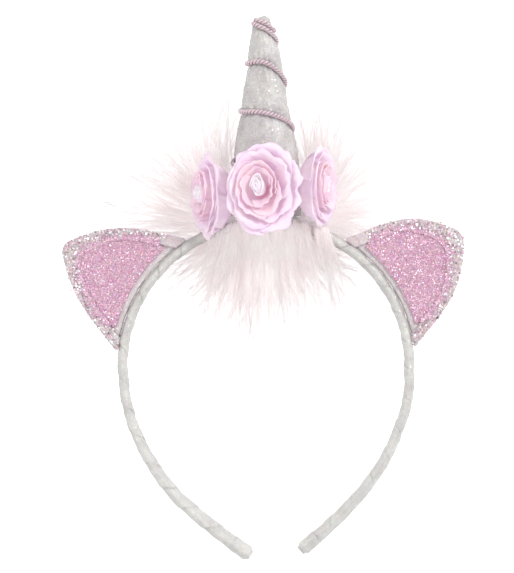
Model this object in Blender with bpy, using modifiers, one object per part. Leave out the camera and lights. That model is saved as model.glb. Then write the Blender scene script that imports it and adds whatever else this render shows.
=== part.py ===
"""Unicorn horn headband: a wrapped hair band with a padded horn, two glitter ears,
three satin roses and a tuft of marabou fluff.

The pieces are laid out in the ring's own frame: +X to the right as the front is seen, +Y
from the band's tips to the horn, +Z to the front, with the middle of the ring at the
origin. The whole then lies on its back, as it would on a table.
"""
import math

import bmesh
import bpy
from mathutils import Matrix, Vector

MM = 0.001

# Clearance that glued pieces keep to each other
GAP = 0.3 * MM

# Band: a plastic strip wrapped in ribbon
BAND_RADIUS = 68.8 * MM
BAND_THICKNESS = 4.8 * MM
BAND_WIDTH = 9.0 * MM
BAND_SIDES = 12
BAND_SQUARENESS = 2.6
ARC_STEPS = 24
ARM_STEPS = 13
LEFT_ARM_DROP = 91.0 * MM
RIGHT_ARM_DROP = 88.6 * MM
TIP_TWIST = math.radians(27)
# Where the arms run below the middle of the ring: how far out they are at each drop
ARM_COLUMNS = ("drop", "left_out", "right_out")
ARM_STATIONS = (
    (0.00, 1.000, 1.000),
    (0.17, 0.977, 0.991),
    (0.34, 0.912, 0.926),
    (0.51, 0.797, 0.826),
    (0.68, 0.630, 0.672),
    (0.85, 0.372, 0.462),
    (1.00, 0.105, 0.240),
)

# Ribbon caps on the band's tips
CAP_LENGTH = 11.0 * MM
CAP_WALL = 0.9 * MM
CAP_PROUD = 0.25 * MM
# The cap's blunt end: how much slimmer it is at each length from the tip
CAP_END_COLUMNS = ("run", "slim")
CAP_END = (
    (0.0 * MM, 0.62),
    (0.5 * MM, 0.84),
    (1.3 * MM, 0.96),
    (2.6 * MM, 1.00),
)
CAP_END_CLEAR = 0.6 * MM
SHOULDER_STEP = 0.2 * MM

# Horn: a padded cone that stands on the band
HORN_HEIGHT = 96.5 * MM
HORN_BASE_RADIUS = 16.5 * MM
HORN_LEAN = 1.7 * MM
HORN_LEAST_RADIUS = 0.3 * MM
HORN_SIDES = 22
HORN_ROWS = 34
HORN_COLUMNS = ("height", "radius", "lean")
HORN_SECTIONS = (
    (0.00, 1.000, 0.00),
    (0.19, 0.990, 0.00),
    (0.29, 0.940, 0.00),
    (0.36, 0.880, 0.05),
    (0.43, 0.800, 0.10),
    (0.49, 0.735, 0.15),
    (0.57, 0.665, 0.25),
    (0.67, 0.585, 0.30),
    (0.81, 0.450, 0.50),
    (0.90, 0.350, 0.75),
    (0.96, 0.265, 0.95),
    (0.99, 0.165, 1.00),
    (1.00, 0.060, 1.00),
)

# Twisted cord wound down the horn; a turn starts on the left and passes the front first
CORD_DIAMETER = 2.2 * MM
CORD_GROOVE = 1.0 * MM
CORD_GROOVE_REACH = 3.0 * MM
CORD_STEPS_PER_TURN = 18
CORD_COLUMNS = ("turn", "height")
CORD_ROUTE = (
    (0.00, 0.962),
    (0.25, 0.938),
    (0.50, 0.880),
    (0.75, 0.818),
    (1.00, 0.762),
    (1.25, 0.764),
    (1.50, 0.672),
    (1.75, 0.592),
    (2.00, 0.526),
    (2.25, 0.512),
    (2.50, 0.446),
    (2.75, 0.360),
    (3.00, 0.270),
    (3.10, 0.250),
)

# Ears: padded plates on the band's outer side
EAR_HEIGHT = 43.0 * MM
EAR_THICKNESS = 3.0 * MM
EAR_EDGE_ROUND = 0.7 * MM
EAR_STEPS = 9
# An edge is at its widest nearer the tip the higher its skew is; it stops short of the tip,
# which a rounded corner closes
EAR_SKEW = 1.15
EAR_TIP_SHARE = 0.9
EAR_CORNER = (0.2, 0.35, 0.5, 0.65, 0.8)
EAR_NOSE = 0.02
# How much further than its edges an inset outline's tip and root corners move in
EAR_TIP_INSET = 1.7
EAR_ROOT_INSET = 1.15
PANEL_THICKNESS = 1.0 * MM
PANEL_ROOT_MARGIN = 4.6 * MM
BORDER_WIDTH = 5.2 * MM
BORDER_THICKNESS = 1.4 * MM
BORDER_INSET = 0.5 * MM
# Angles in degrees above the ring's level; bulges as shares of the ear's height
EAR_COLUMNS = ("name", "side", "middle", "span", "tip", "top_bulge", "side_bulge")
EARS = (
    ("left", -1, 31.8, 51.4, 30.6, 0.150, 0.100),
    ("right", 1, 32.7, 50.0, 34.0, 0.180, 0.155),
)

# Satin roses around the foot of the horn
PETAL_THICKNESS = 1.0 * MM
# The angle around the horn is in degrees from the front, positive to the right; press is
# the share by which a side rose is flattened where it leans on the centre rose
ROSE_COLUMNS = ("name", "around", "rise", "radius", "stretch", "depth", "spin", "press")
ROSES = (
    ("left", -66.0, 9.0 * MM, 16.0 * MM, 1.18, 20.0 * MM, 20.0, 0.30),
    ("centre", -3.0, 12.0 * MM, 17.0 * MM, 1.22, 16.0 * MM, 75.0, 0.0),
    ("right", 64.0, 13.5 * MM, 16.0 * MM, 1.14, 19.0 * MM, 50.0, 0.30),
)
# Rings of petals, each seated in the one before it: radius and height of the rim as shares
# of the rose's radius and depth; the notch is the share of its height by which the rim dips
# between two petals
PETAL_RING_COLUMNS = ("name", "petal_count", "radius_share", "layer_number", "rim_share",
                      "notch_share", "curl_share")
PETAL_RINGS = (
    ("outer_petals", 5, 1.00, 0, 0.80, 0.22, 0.07),
    ("inner_petals", 4, 0.60, 1, 0.96, 0.18, 0.02),
)
# How far a petal's two edges stand out and in, as a share of the ring's radius
PETAL_TUCK = 0.085
# How much wider than its share of the ring a petal's rim is, from this share of its height
PETAL_OVERLAP = 0.45
PETAL_FOLD_START = 0.4
PETAL_ACROSS_STEPS = 4
PETAL_ALONG_STEPS = 4
PETAL_PROFILE_COLUMNS = ("along", "radius", "height")
PETAL_PROFILE = (
    (0.00, 0.16, 0.00),
    (0.25, 0.50, 0.13),
    (0.50, 0.78, 0.42),
    (0.75, 0.92, 0.80),
    (1.00, 1.00, 1.00),
)
# Above this share of its height a petal's rim curls out
PETAL_CURL_START = 0.75
# Bud: a rolled strip; its reach is a share of the rose's radius, and the roll starts that
# much further in, bellies out by height and is a little lower on its outside
BUD_REACH = 0.26
BUD_FOOT_HEIGHT = 2.5 * MM
BUD_FOOT_REACH = 0.6
BUD_FOOT_NARROW = 0.4
BUD_TURNS = 1.75
BUD_STEPS = 15
BUD_CORE = 0.18
BUD_FALL = 0.10
BUD_BELLY_COLUMNS = ("height", "radius")
BUD_BELLY = (
    (0.0, 0.52),
    (0.5, 0.82),
    (1.0, 0.90),
)

# Marabou fluff: a soft core with tapered locks all round. The core's middle lies this far
# left of the horn, inside the band's outer face and behind the band's middle
FLUFF_ASIDE = 2.0 * MM
FLUFF_INSIDE = 2.2 * MM
FLUFF_BEHIND = 7.0 * MM
FLUFF_CORE = (33.0 * MM, 21.0 * MM, 12.5 * MM)
FLUFF_CLEARANCE = 0.5 * MM
FLUFF_REACH = 76.0 * MM
# The locks spread from this far outside the band's outer face
FLUFF_BURST_RISE = 5.8 * MM
LOCK_ROOT_RADIUS = 7.4 * MM
LOCK_TIP_RADIUS = 0.7 * MM
LOCK_LENGTHS = (1.0, 0.86, 0.94)
# Above 1 a lock stays wide for longer before it tapers
LOCK_FULLNESS = 1.5
LOCK_SIDES = 5
LOCK_STEPS = 3
LOCK_FLATNESS = 0.72
LOCK_BOW = 1.5 * MM
# Where the roots lie, as shares of the core's size
ROOT_SPREAD = (0.55, 0.45)
REACH_COLUMNS = ("direction", "reach")
# Direction in degrees from +X, turning towards the horn; reach as a share of FLUFF_REACH
FLUFF_OUTLINE = (
    (0.0, 0.96),
    (26.0, 0.80),
    (45.0, 0.88),
    (66.0, 0.80),
    (90.0, 0.70),
    (105.0, 0.75),
    (140.0, 0.72),
    (154.0, 0.86),
    (180.0, 1.00),
    (193.0, 0.84),
    (216.0, 0.66),
    (233.0, 0.86),
    (261.0, 0.88),
    (290.0, 0.74),
    (318.0, 0.80),
    (334.0, 0.60),
    (347.0, 0.72),
    (360.0, 0.96),
)
# No lock starts within this many degrees of the horn's own direction, and one that points
# up by more than this share of its length is rooted beside the horn
BEHIND_HORN = 16.0
UPWARD = 0.3
# Layers of locks: how many, the first direction, the share of the outline that they reach,
# and the depth of their roots and tips as shares of the core's depth
LAYER_COLUMNS = ("name", "locks", "first", "share", "root_depth", "tip_depth")
FLUFF_LAYERS = (
    ("back", 16, 4.0, 0.94, -0.30, -0.95),
    ("middle", 16, 12.0, 1.00, 0.00, -0.10),
)
# Short locks that cover the front of the band under the roses, by their place along X;
# they arch over the band, and the outer ones lean outwards
FRONT_LOCKS = (-0.62, -0.40, 0.02, 0.46, 0.70)
FRONT_LOCK_ROOT = 0.6
FRONT_LOCK_LENGTH = 15.0 * MM
FRONT_LOCK_LEAN = 6.0 * MM
FRONT_LOCK_LIFT = 9.5 * MM
FRONT_LOCK_BOW = 8.0 * MM
FRONT_LOCK_RADIUS = 5.9 * MM
FRONT_LOCK_FLATNESS = 0.6
# Rooms that the horn and the roses keep in the fluff
HORN_ROOM_HEIGHT = 0.75
CORD_REACH_DOWN = 0.05
ROSE_ROOM_START = -0.04
ROSE_ROOM_END = 1.21
ROSE_ROOM_COLUMNS = ("height", "radius")
ROSE_ROOM = (
    (0.00, 0.38),
    (0.20, 0.80),
    (0.40, 1.11),
    (0.62, 1.24),
    (1.00, 1.24),
)

# What follows from the sizes above
BAND_OUTER = BAND_RADIUS + BAND_THICKNESS / 2
PETAL_PITCH = PETAL_THICKNESS + GAP
BUD_FLOOR = len(PETAL_RINGS) * PETAL_PITCH
HORN_FOOT = BAND_OUTER + GAP
FLUFF_MIDDLE = (-FLUFF_ASIDE, BAND_OUTER - FLUFF_INSIDE, -FLUFF_BEHIND)
FLUFF_BURST = (-FLUFF_ASIDE, BAND_OUTER + FLUFF_BURST_RISE)
CAP_SCALE = 1 + CAP_PROUD / (BAND_THICKNESS / 2)
CORE_SCALE = 1 - (CAP_WALL - CAP_PROUD + GAP) / (BAND_THICKNESS / 2)
TIP_DEPTH = CAP_SCALE * math.hypot(
    BAND_WIDTH / 2 * math.cos(TIP_TWIST), BAND_THICKNESS / 2 * math.sin(TIP_TWIST))
REST_DEPTH = HORN_BASE_RADIUS + 3 * GAP
TIP_LEVEL = -(LEFT_ARM_DROP + RIGHT_ARM_DROP) / 2
REST_TILT = math.atan2(REST_DEPTH - TIP_DEPTH, HORN_FOOT - TIP_LEVEL)


def smooth(table, at, column=1):
    """Read a column of a table at a value of its first column, on a smooth curve."""
    last = len(table) - 1
    row = 0
    while row < last - 1 and at > table[row + 1][0]:
        row += 1
    start, end = table[row], table[row + 1]
    span = end[0] - start[0]

    def slope(index):
        before, after = table[max(index - 1, 0)], table[min(index + 1, last)]
        return (after[column] - before[column]) / (after[0] - before[0])

    t = min(max((at - start[0]) / span, 0.0), 1.0)
    rise = (3 - 2 * t) * t * t
    bend_in = t * (1 - t) * (1 - t) * span * slope(row)
    bend_out = t * t * (1 - t) * span * slope(row + 1)
    return start[column] + (end[column] - start[column]) * rise + bend_in - bend_out


def clear_scene():
    for item in list(bpy.data.objects):
        bpy.data.objects.remove(item, do_unlink=True)


def new_collection(name):
    collection = bpy.data.collections.new(name)
    bpy.context.scene.collection.children.link(collection)
    return collection


def material(name, colour, roughness, metallic=0.0):
    surface = bpy.data.materials.new(name)
    surface.use_nodes = True
    shader = surface.node_tree.nodes["Principled BSDF"]
    shader.inputs["Base Color"].default_value = (*colour, 1.0)
    shader.inputs["Roughness"].default_value = roughness
    shader.inputs["Metallic"].default_value = metallic
    surface.diffuse_color = (*colour, 1.0)
    return surface


class Workshop:
    """The collections, the frame that the pieces hang on and the materials."""

    def __init__(self):
        self.parts = new_collection("unicorn_horn_headband")
        self.cutters = new_collection("cutters")
        self.ring = bpy.data.objects.new("ring", None)
        self.ring.rotation_euler.x = REST_TILT
        self.parts.objects.link(self.ring)

    def piece(self, name, data, surface):
        item = bpy.data.objects.new(name, data)
        self.parts.objects.link(item)
        item.parent = self.ring
        item.data.materials.clear()
        item.data.materials.append(surface)
        return item

    def cutter(self, name, data):
        item = bpy.data.objects.new(name, data)
        self.cutters.objects.link(item)
        item.parent = self.ring
        item.hide_render = True
        item.display_type = "WIRE"
        return item

    def mesh_of(self, item, name):
        """A welded mesh of an evaluated curve object, which is then removed."""
        bpy.context.view_layer.update()
        evaluated = item.evaluated_get(bpy.context.evaluated_depsgraph_get())
        mesh = bpy.data.meshes.new_from_object(evaluated)
        mesh.name = name
        bpy.data.objects.remove(item, do_unlink=True)
        shape = bmesh.new()
        shape.from_mesh(mesh)
        bmesh.ops.remove_doubles(shape, verts=shape.verts, dist=0.00001)
        bmesh.ops.recalc_face_normals(shape, faces=shape.faces)
        shape.to_mesh(mesh)
        shape.free()
        return mesh


def add_boolean(item, cutter, operation="DIFFERENCE", own=False):
    step = item.modifiers.new(f"{operation.lower()} {cutter.name}", "BOOLEAN")
    step.operation = operation
    step.object = cutter
    step.solver = "EXACT"
    step.use_self = own


def bent_grid(name, across, along, place, closed=False, caps=(0.0, 1.0)):
    """A grid whose points place(u, v) puts, with u and v from 0 to 1.

    A closed one meets itself at u = 0 and u = 1 and has a flat cap at each v in caps.
    """
    shape = bmesh.new()
    bmesh.ops.create_grid(shape, x_segments=across, y_segments=along, size=0.5)
    capped = shape.verts.layers.int.new("capped")
    for corner in shape.verts:
        u, v = corner.co.x + 0.5, corner.co.y + 0.5
        corner[capped] = any(abs(v - cap) < 0.5 / along for cap in caps)
        corner.co = place(u, v)
    if closed:
        bmesh.ops.remove_doubles(shape, verts=shape.verts, dist=0.00001)
        rims = [edge for edge in shape.edges
                if edge.is_boundary and all(corner[capped] for corner in edge.verts)]
        bmesh.ops.holes_fill(shape, edges=rims)
        bmesh.ops.recalc_face_normals(shape, faces=shape.faces)
    mesh = bpy.data.meshes.new(name)
    shape.to_mesh(mesh)
    shape.free()
    return mesh


def joined(name, meshes):
    shape = bmesh.new()
    for mesh in meshes:
        shape.from_mesh(mesh)
        bpy.data.meshes.remove(mesh)
    mesh = bpy.data.meshes.new(name)
    shape.to_mesh(mesh)
    shape.free()
    return mesh


def soften(item, angle=35):
    item.data.shade_smooth()
    item.data.set_sharp_from_angle(angle=math.radians(angle))


# Band and its caps
def arm_points(side, steps):
    """Centre line of an arm from the ring's level down to its tip, with its twist."""
    drop = LEFT_ARM_DROP if side < 0 else RIGHT_ARM_DROP
    column = ARM_COLUMNS.index("left_out" if side < 0 else "right_out")
    points = []
    for step in range(steps + 1):
        share = step / steps
        out = smooth(ARM_STATIONS, share, column)
        points.append((Vector((side * BAND_RADIUS * out, -drop * share, 0)), share))
    return points


def band_route():
    """Centre line from the left tip over the top to the right tip."""
    left = arm_points(-1, ARM_STEPS)[:0:-1]
    arc = []
    for step in range(ARC_STEPS + 1):
        angle = math.pi * (1 - step / ARC_STEPS)
        spot = Vector((BAND_RADIUS * math.cos(angle), BAND_RADIUS * math.sin(angle), 0))
        arc.append((spot, 0.0))
    right = arm_points(1, ARM_STEPS)[1:]
    return left + arc + right


def walk(points, start, end=None):
    """The stretch of a route between two lengths along it."""
    kept, run = [], 0.0
    for (spot, share), (after, after_share) in zip(points, points[1:]):
        length = (after - spot).length
        for limit in (start, end):
            if limit is not None and run <= limit < run + length:
                t = (limit - run) / length
                kept.append((limit, spot.lerp(after, t), share + (after_share - share) * t))
        run += length
        if run > start and (end is None or run < end):
            kept.append((run, after, after_share))
    return sorted(kept, key=lambda entry: entry[0])


def twist_at(share, side):
    ease = share * share * (3 - 2 * share)
    return side * TIP_TWIST * ease


def strap(shop, name, stations):
    """A curve with the band's section; each station has a spot, a twist and a scale."""
    profile = bpy.data.curves.new(name + "_section", "CURVE")
    profile.dimensions = "2D"
    spline = profile.splines.new("POLY")
    spline.points.add(BAND_SIDES - 1)
    spline.use_cyclic_u = True
    for index, point in enumerate(spline.points):
        angle = math.tau * (index + 0.5) / BAND_SIDES
        power = 2 / BAND_SQUARENESS
        across, out = math.cos(angle), math.sin(angle)
        point.co = (math.copysign(abs(across) ** power, across) * BAND_THICKNESS / 2,
                    math.copysign(abs(out) ** power, out) * BAND_WIDTH / 2, 0, 1)
    section = shop.cutter(name + "_section", profile)

    path = bpy.data.curves.new(name, "CURVE")
    path.dimensions = "3D"
    path.twist_mode = "Z_UP"
    path.bevel_mode = "OBJECT"
    path.bevel_object = section
    path.use_fill_caps = True
    spline = path.splines.new("POLY")
    spline.points.add(len(stations) - 1)
    for point, (spot, twist, scale) in zip(spline.points, stations):
        point.co = (*spot, 1)
        point.tilt = twist
        point.radius = scale
    return shop.cutter(name, path)


def band_length(points):
    return sum((b[0] - a[0]).length for a, b in zip(points, points[1:]))


def side_of(spot):
    return 1 if spot.x > 0 else -1


def band_stations(scale):
    """The band between the ends of its two caps' hollows; slimmer inside the caps."""
    route = band_route()
    whole = band_length(route)
    inside = CAP_WALL + GAP
    shoulder = CAP_LENGTH + GAP
    step = SHOULDER_STEP
    marks = walk(route, inside, whole - inside)
    kept = [mark for mark in marks
            if min(abs(mark[0] - shoulder), abs(mark[0] - whole + shoulder)) > 2 * step]
    for edge, sign in ((shoulder, 1), (whole - shoulder, -1)):
        for offset in (-step * sign, 0.0):
            kept.append(walk(route, edge + offset)[0])
    stations = []
    for run, spot, share in sorted(kept, key=lambda entry: entry[0]):
        slim = run < shoulder - step / 2 or run > whole - shoulder + step / 2
        stations.append((spot, twist_at(share, side_of(spot)), scale * (CORE_SCALE if slim else 1)))
    return stations


def tip_stations(side, start, end, scale, rounded):
    """A stretch at one tip, from a length near the tip to one further up the arm."""
    route = arm_points(side, ARM_STEPS * 3)[::-1]
    stations = []
    for run, spot, share in walk(route, start, end):
        stations.append((spot, twist_at(share, side), scale, run))
    if rounded:
        ends = []
        for length, slim in CAP_END:
            run, spot, share = walk(route, start + length)[0]
            ends.append((spot, twist_at(share, side), scale * slim, run))
        clear = ends[-1][3] + CAP_END_CLEAR
        stations = ends + [entry for entry in stations if entry[3] > clear]
    return [entry[:3] for entry in stations[::-side]]


def make_band(shop, ribbon):
    band = strap(shop, "band", band_stations(1.0))
    mesh = shop.mesh_of(band, "band")
    piece = shop.piece("band", mesh, ribbon)
    soften(piece)
    for side, name in ((-1, "left"), (1, "right")):
        outer = strap(shop, f"tip_{name}", tip_stations(side, 0, CAP_LENGTH, CAP_SCALE, True))
        cap = shop.piece(f"band_tip_{name}", shop.mesh_of(outer, f"band_tip_{name}"), ribbon)
        hollow_scale = CORE_SCALE + GAP / (BAND_THICKNESS / 2)
        hollow = strap(shop, f"tip_hollow_{name}", tip_stations(
            side, CAP_WALL, CAP_LENGTH + CAP_WALL, hollow_scale, False))
        add_boolean(cap, shop.cutter(f"cap_hollow_{name}", shop.mesh_of(hollow, "cap_hollow")))
        soften(cap)


# Horn and its cord
def horn_radius(height):
    return HORN_BASE_RADIUS * smooth(HORN_SECTIONS, height, HORN_COLUMNS.index("radius"))


def horn_middle(height):
    lean = -HORN_LEAN * smooth(HORN_SECTIONS, height, HORN_COLUMNS.index("lean"))
    return Vector((lean, HORN_FOOT + HORN_HEIGHT * height, 0))


def around_horn(turn):
    """Direction from the horn's axis: a turn starts on the left and passes the front."""
    angle = math.pi - math.tau * turn
    return Vector((math.cos(angle), 0, math.sin(angle)))


def groove_at(turn, height):
    """How deep the cord presses the horn in at a place on it."""
    nearest = min(abs(smooth(CORD_ROUTE, turn + lap) - height) * HORN_HEIGHT
                  for lap in range(4) if turn + lap <= CORD_ROUTE[-1][0])
    return CORD_GROOVE * math.exp(-(nearest / CORD_GROOVE_REACH) ** 2)


def make_horn(shop, fabric, cord_surface):
    def skin(u, v):
        turn = u % 1.0
        height = v
        radius = max(horn_radius(height) - groove_at(turn, height), HORN_LEAST_RADIUS)
        return horn_middle(height) + around_horn(turn) * radius

    horn = shop.piece("horn", bent_grid("horn", HORN_SIDES, HORN_ROWS, skin, closed=True), fabric)
    soften(horn, 60)

    last = CORD_ROUTE[-1][0]
    steps = round(last * CORD_STEPS_PER_TURN)
    path = bpy.data.curves.new("horn_cord", "CURVE")
    path.dimensions = "3D"
    path.bevel_depth = CORD_DIAMETER / 2
    path.bevel_resolution = 2
    path.use_fill_caps = True
    spline = path.splines.new("POLY")
    spline.points.add(steps)
    stand_off = CORD_DIAMETER / 2 + 1.5 * GAP - CORD_GROOVE
    for step, point in enumerate(spline.points):
        turn = last * step / steps
        height = smooth(CORD_ROUTE, turn)
        spot = horn_middle(height) + around_horn(turn) * (horn_radius(height) + stand_off)
        point.co = (*spot, 1)
    shop.piece("horn_cord", path, cord_surface)


# Ears
def ear_edge(start, end, bulge, shares, outward):
    """Points of a bowed edge from its root to the tip."""
    chord = end - start
    normal = Vector((-chord.y, chord.x)).normalized()
    if normal.dot(outward) < 0:
        normal = -normal
    return [start + chord * t + normal * bulge * math.sin(math.pi * t ** EAR_SKEW)
            for t in shares]


def ear_edges(ear, inset, root_radius):
    """The two bowed edges and the rounded tip, pulled in by an inset."""
    _, side, middle, span, tip, top_bulge, side_bulge = ear

    def polar(radius, degrees):
        angle = math.radians(degrees)
        return Vector((side * radius * math.cos(angle), radius * math.sin(angle)))

    trim = math.degrees(inset / BAND_OUTER) * EAR_ROOT_INSET
    upper = polar(root_radius, middle + span / 2 - trim)
    lower = polar(root_radius, middle - span / 2 + trim)
    point = polar(BAND_OUTER + EAR_HEIGHT - inset * EAR_TIP_INSET, tip)
    shares = [EAR_TIP_SHARE * step / EAR_STEPS for step in range(EAR_STEPS + 1)]
    away = point - (upper + lower) / 2
    top_side = upper - lower
    top = ear_edge(upper, point, top_bulge * EAR_HEIGHT, shares, top_side)
    low = ear_edge(lower, point, side_bulge * EAR_HEIGHT, shares, -top_side)
    nose = point + away.normalized() * EAR_HEIGHT * EAR_NOSE
    corner = []
    for t in EAR_CORNER:
        corner.append(top[-1].lerp(nose, t).lerp(nose.lerp(low[-1], t), t))
    return top + corner + low[::-1]


def beyond(edge, radius):
    """The stretch of an outline outside a circle round the ring's middle."""
    kept = [spot for spot in edge if spot.length > radius]
    first, last = edge.index(kept[0]), edge.index(kept[-1])
    ends = []
    for inner, outer in ((edge[first - 1], kept[0]), (edge[last + 1], kept[-1])):
        share = (radius - inner.length) / (outer.length - inner.length)
        ends.append(inner.lerp(outer, share))
    return [ends[0], *kept, ends[1]]


def root_arc(edge, radius, steps=8):
    """Points along the band's outer side, from the edge's end back to its start."""
    start = math.atan2(edge[-1].y, edge[-1].x)
    end = math.atan2(edge[0].y, edge[0].x)
    points = []
    for step in range(1, steps):
        angle = start + (end - start) * step / steps
        points.append(Vector((math.cos(angle), math.sin(angle))) * radius)
    return points


def plate(shop, name, outline, back, thickness, rounding, surface):
    """A flat outline thickened from its back face to the front."""
    path = bpy.data.curves.new(name, "CURVE")
    path.dimensions = "2D"
    path.fill_mode = "BOTH"
    path.extrude = thickness / 2 - rounding
    path.bevel_depth = rounding
    path.bevel_resolution = 1
    path.offset = -rounding
    spline = path.splines.new("POLY")
    spline.points.add(len(outline) - 1)
    spline.use_cyclic_u = True
    for point, spot in zip(spline.points, outline):
        point.co = (spot.x, spot.y, 0, 1)
    piece = shop.piece(name, path, surface)
    piece.location.z = back + thickness / 2
    return piece


def make_ears(shop, felt, glitter, sequins):
    front = EAR_THICKNESS / 2 + GAP
    for ear in EARS:
        name = ear[0]
        seat = BAND_OUTER + GAP
        edge = ear_edges(ear, 0.0, seat)
        plate(shop, f"ear_{name}", edge + root_arc(edge, seat),
              -EAR_THICKNESS / 2, EAR_THICKNESS, EAR_EDGE_ROUND, felt)
        margin = seat + PANEL_ROOT_MARGIN
        inner = beyond(ear_edges(ear, BORDER_INSET + BORDER_WIDTH + GAP, seat), margin)
        plate(shop, f"ear_{name}_panel", inner + root_arc(inner, margin),
              front, PANEL_THICKNESS, 0.0, glitter)
        rim = ear_edges(ear, BORDER_INSET, seat + BORDER_INSET)
        cut = ear_edges(ear, BORDER_INSET + BORDER_WIDTH, seat + BORDER_INSET)
        plate(shop, f"ear_{name}_border", rim + cut[::-1],
              front, BORDER_THICKNESS, 0.0, sequins)


# Roses
def rose_frame(rose):
    """Where a rose sits: its base is tangent to the horn, and its axis points outward."""
    _, around, rise, _, _, _, spin, _ = rose
    angle = math.radians(around)
    axis = Vector((math.sin(angle), 0, math.cos(angle)))
    up = Vector((0, 1, 0))
    height = rise / HORN_HEIGHT
    seat = horn_middle(height) + axis * (horn_radius(height) + GAP)
    turn = Matrix((up.cross(axis), up, axis)).transposed().to_4x4()
    return Matrix.Translation(seat) @ turn, math.radians(spin)


def pressed(rose, spot):
    """A point of a rose in its own frame, flattened on the side of the centre rose."""
    _, around, *_, press = rose
    if spot.x * around < 0:
        spot.x *= 1 - press
    return spot


def petal_place(rose, ring, spin):
    """A ring of petals as one gathered strip, which folds back where a petal tucks under."""
    _, _, _, radius, stretch, depth, _, _ = rose
    _, count, reach, layer, rim, notch, curl = ring
    columns = PETAL_ACROSS_STEPS + 1
    floor = layer * PETAL_PITCH + PETAL_THICKNESS / 2

    def place(u, v):
        petal, step = divmod(round(u * count * columns) % (count * columns), columns)
        side = 2 * step / PETAL_ACROSS_STEPS - 1
        along = v * (1 - notch * side * side)
        out = smooth(PETAL_PROFILE, along, 1) * radius * reach
        lip = max(along - PETAL_CURL_START, 0) / (1 - PETAL_CURL_START)
        out += curl * radius * lip
        out += side * PETAL_TUCK * radius * reach * math.sqrt(along)
        rise = smooth(PETAL_PROFILE, along, 2) * (rim * depth - floor)
        spread = 1 + PETAL_OVERLAP * max(v - PETAL_FOLD_START, 0)
        angle = spin + math.pi / count * (2 * petal + side * spread)
        return pressed(rose, Vector((out * math.cos(angle), out * math.sin(angle) * stretch,
                                     floor + rise)))

    return place


def bud_place(rose, spin):
    _, _, _, radius, stretch, depth, _, _ = rose
    low = BUD_FLOOR + BUD_FOOT_HEIGHT / 2

    def place(u, v):
        angle = spin + math.tau * BUD_TURNS * u
        share = BUD_CORE + (1 - BUD_CORE) * u
        out = radius * BUD_REACH * share * smooth(BUD_BELLY, v)
        tall = low + (depth * (1 - BUD_FALL * u) - low) * v
        return pressed(rose, Vector((out * math.cos(angle), out * math.sin(angle) * stretch,
                                     tall)))

    return place


def bud_foot(shop, name, radius, stretch):
    """The cone that the bud's roll stands on."""
    shape = bmesh.new()
    bmesh.ops.create_cone(shape, cap_ends=True, segments=12, radius2=radius,
                          radius1=radius * BUD_FOOT_NARROW, depth=BUD_FOOT_HEIGHT)
    for corner in shape.verts:
        corner.co.y *= stretch
        corner.co.z += BUD_FLOOR + BUD_FOOT_HEIGHT / 2
    mesh = bpy.data.meshes.new(name)
    shape.to_mesh(mesh)
    shape.free()
    return shop.cutter(name, mesh)


def thicken(item):
    step = item.modifiers.new("petal cloth", "SOLIDIFY")
    step.thickness = PETAL_THICKNESS
    step.offset = 0
    step.use_even_offset = False


def make_rose(shop, rose, outer_satin, inner_satin, bud_satin):
    name, _, _, radius, stretch, depth, _, _ = rose
    frame, spin = rose_frame(rose)
    for ring, satin in zip(PETAL_RINGS, (outer_satin, inner_satin)):
        label, count = ring[:2]
        strip = bent_grid(label, count * (PETAL_ACROSS_STEPS + 1), PETAL_ALONG_STEPS,
                          petal_place(rose, ring, spin * ring[2]), closed=True, caps=(0.0,))
        piece = shop.piece(f"rose_{name}_{label}", strip, satin)
        piece.matrix_local = frame
        thicken(piece)
        soften(piece, 50)
    bud = shop.piece(f"rose_{name}_bud", bent_grid("bud", BUD_STEPS, 2, bud_place(rose, spin)),
                     bud_satin)
    bud.matrix_local = frame
    thicken(bud)
    foot = bud_foot(shop, f"{name}_bud_foot", radius * BUD_REACH * BUD_FOOT_REACH, stretch)
    foot.matrix_local = frame
    add_boolean(bud, foot, "UNION", own=True)
    soften(bud, 50)


# Marabou fluff
def floor_under(y):
    """Level of the surface under the lying headband, in the ring's frame."""
    return -TIP_DEPTH - (y - TIP_LEVEL) * math.tan(REST_TILT)


def above_floor(spot):
    return Vector((spot.x, spot.y, max(spot.z, floor_under(spot.y))))


def lock_mesh(root, tip, droop, root_radius, flat):
    """A tapered lock of down from its root to its tip, which lies on the floor where it
    would go under it."""
    run = tip - root
    side = run.cross(Vector((0, 0, 1))).normalized()
    lift = side.cross(run).normalized()
    corners = [math.tau * index / LOCK_SIDES for index in range(LOCK_SIDES)]

    def ring_spot(v, angle):
        middle = root + run * v + Vector((0, 0, droop * v * (1 - v)))
        radius = root_radius + (LOCK_TIP_RADIUS - root_radius) * v ** LOCK_FULLNESS
        return middle + (side * math.cos(angle) + lift * math.sin(angle) * flat) * radius

    def place(u, v):
        ring = [ring_spot(v, angle) for angle in corners]
        sunk = max(0, *(floor_under(spot.y) - spot.z for spot in ring))
        return ring_spot(v, math.tau * u) + Vector((0, 0, sunk))

    return bent_grid("lock", LOCK_SIDES, LOCK_STEPS, place, closed=True)


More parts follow.
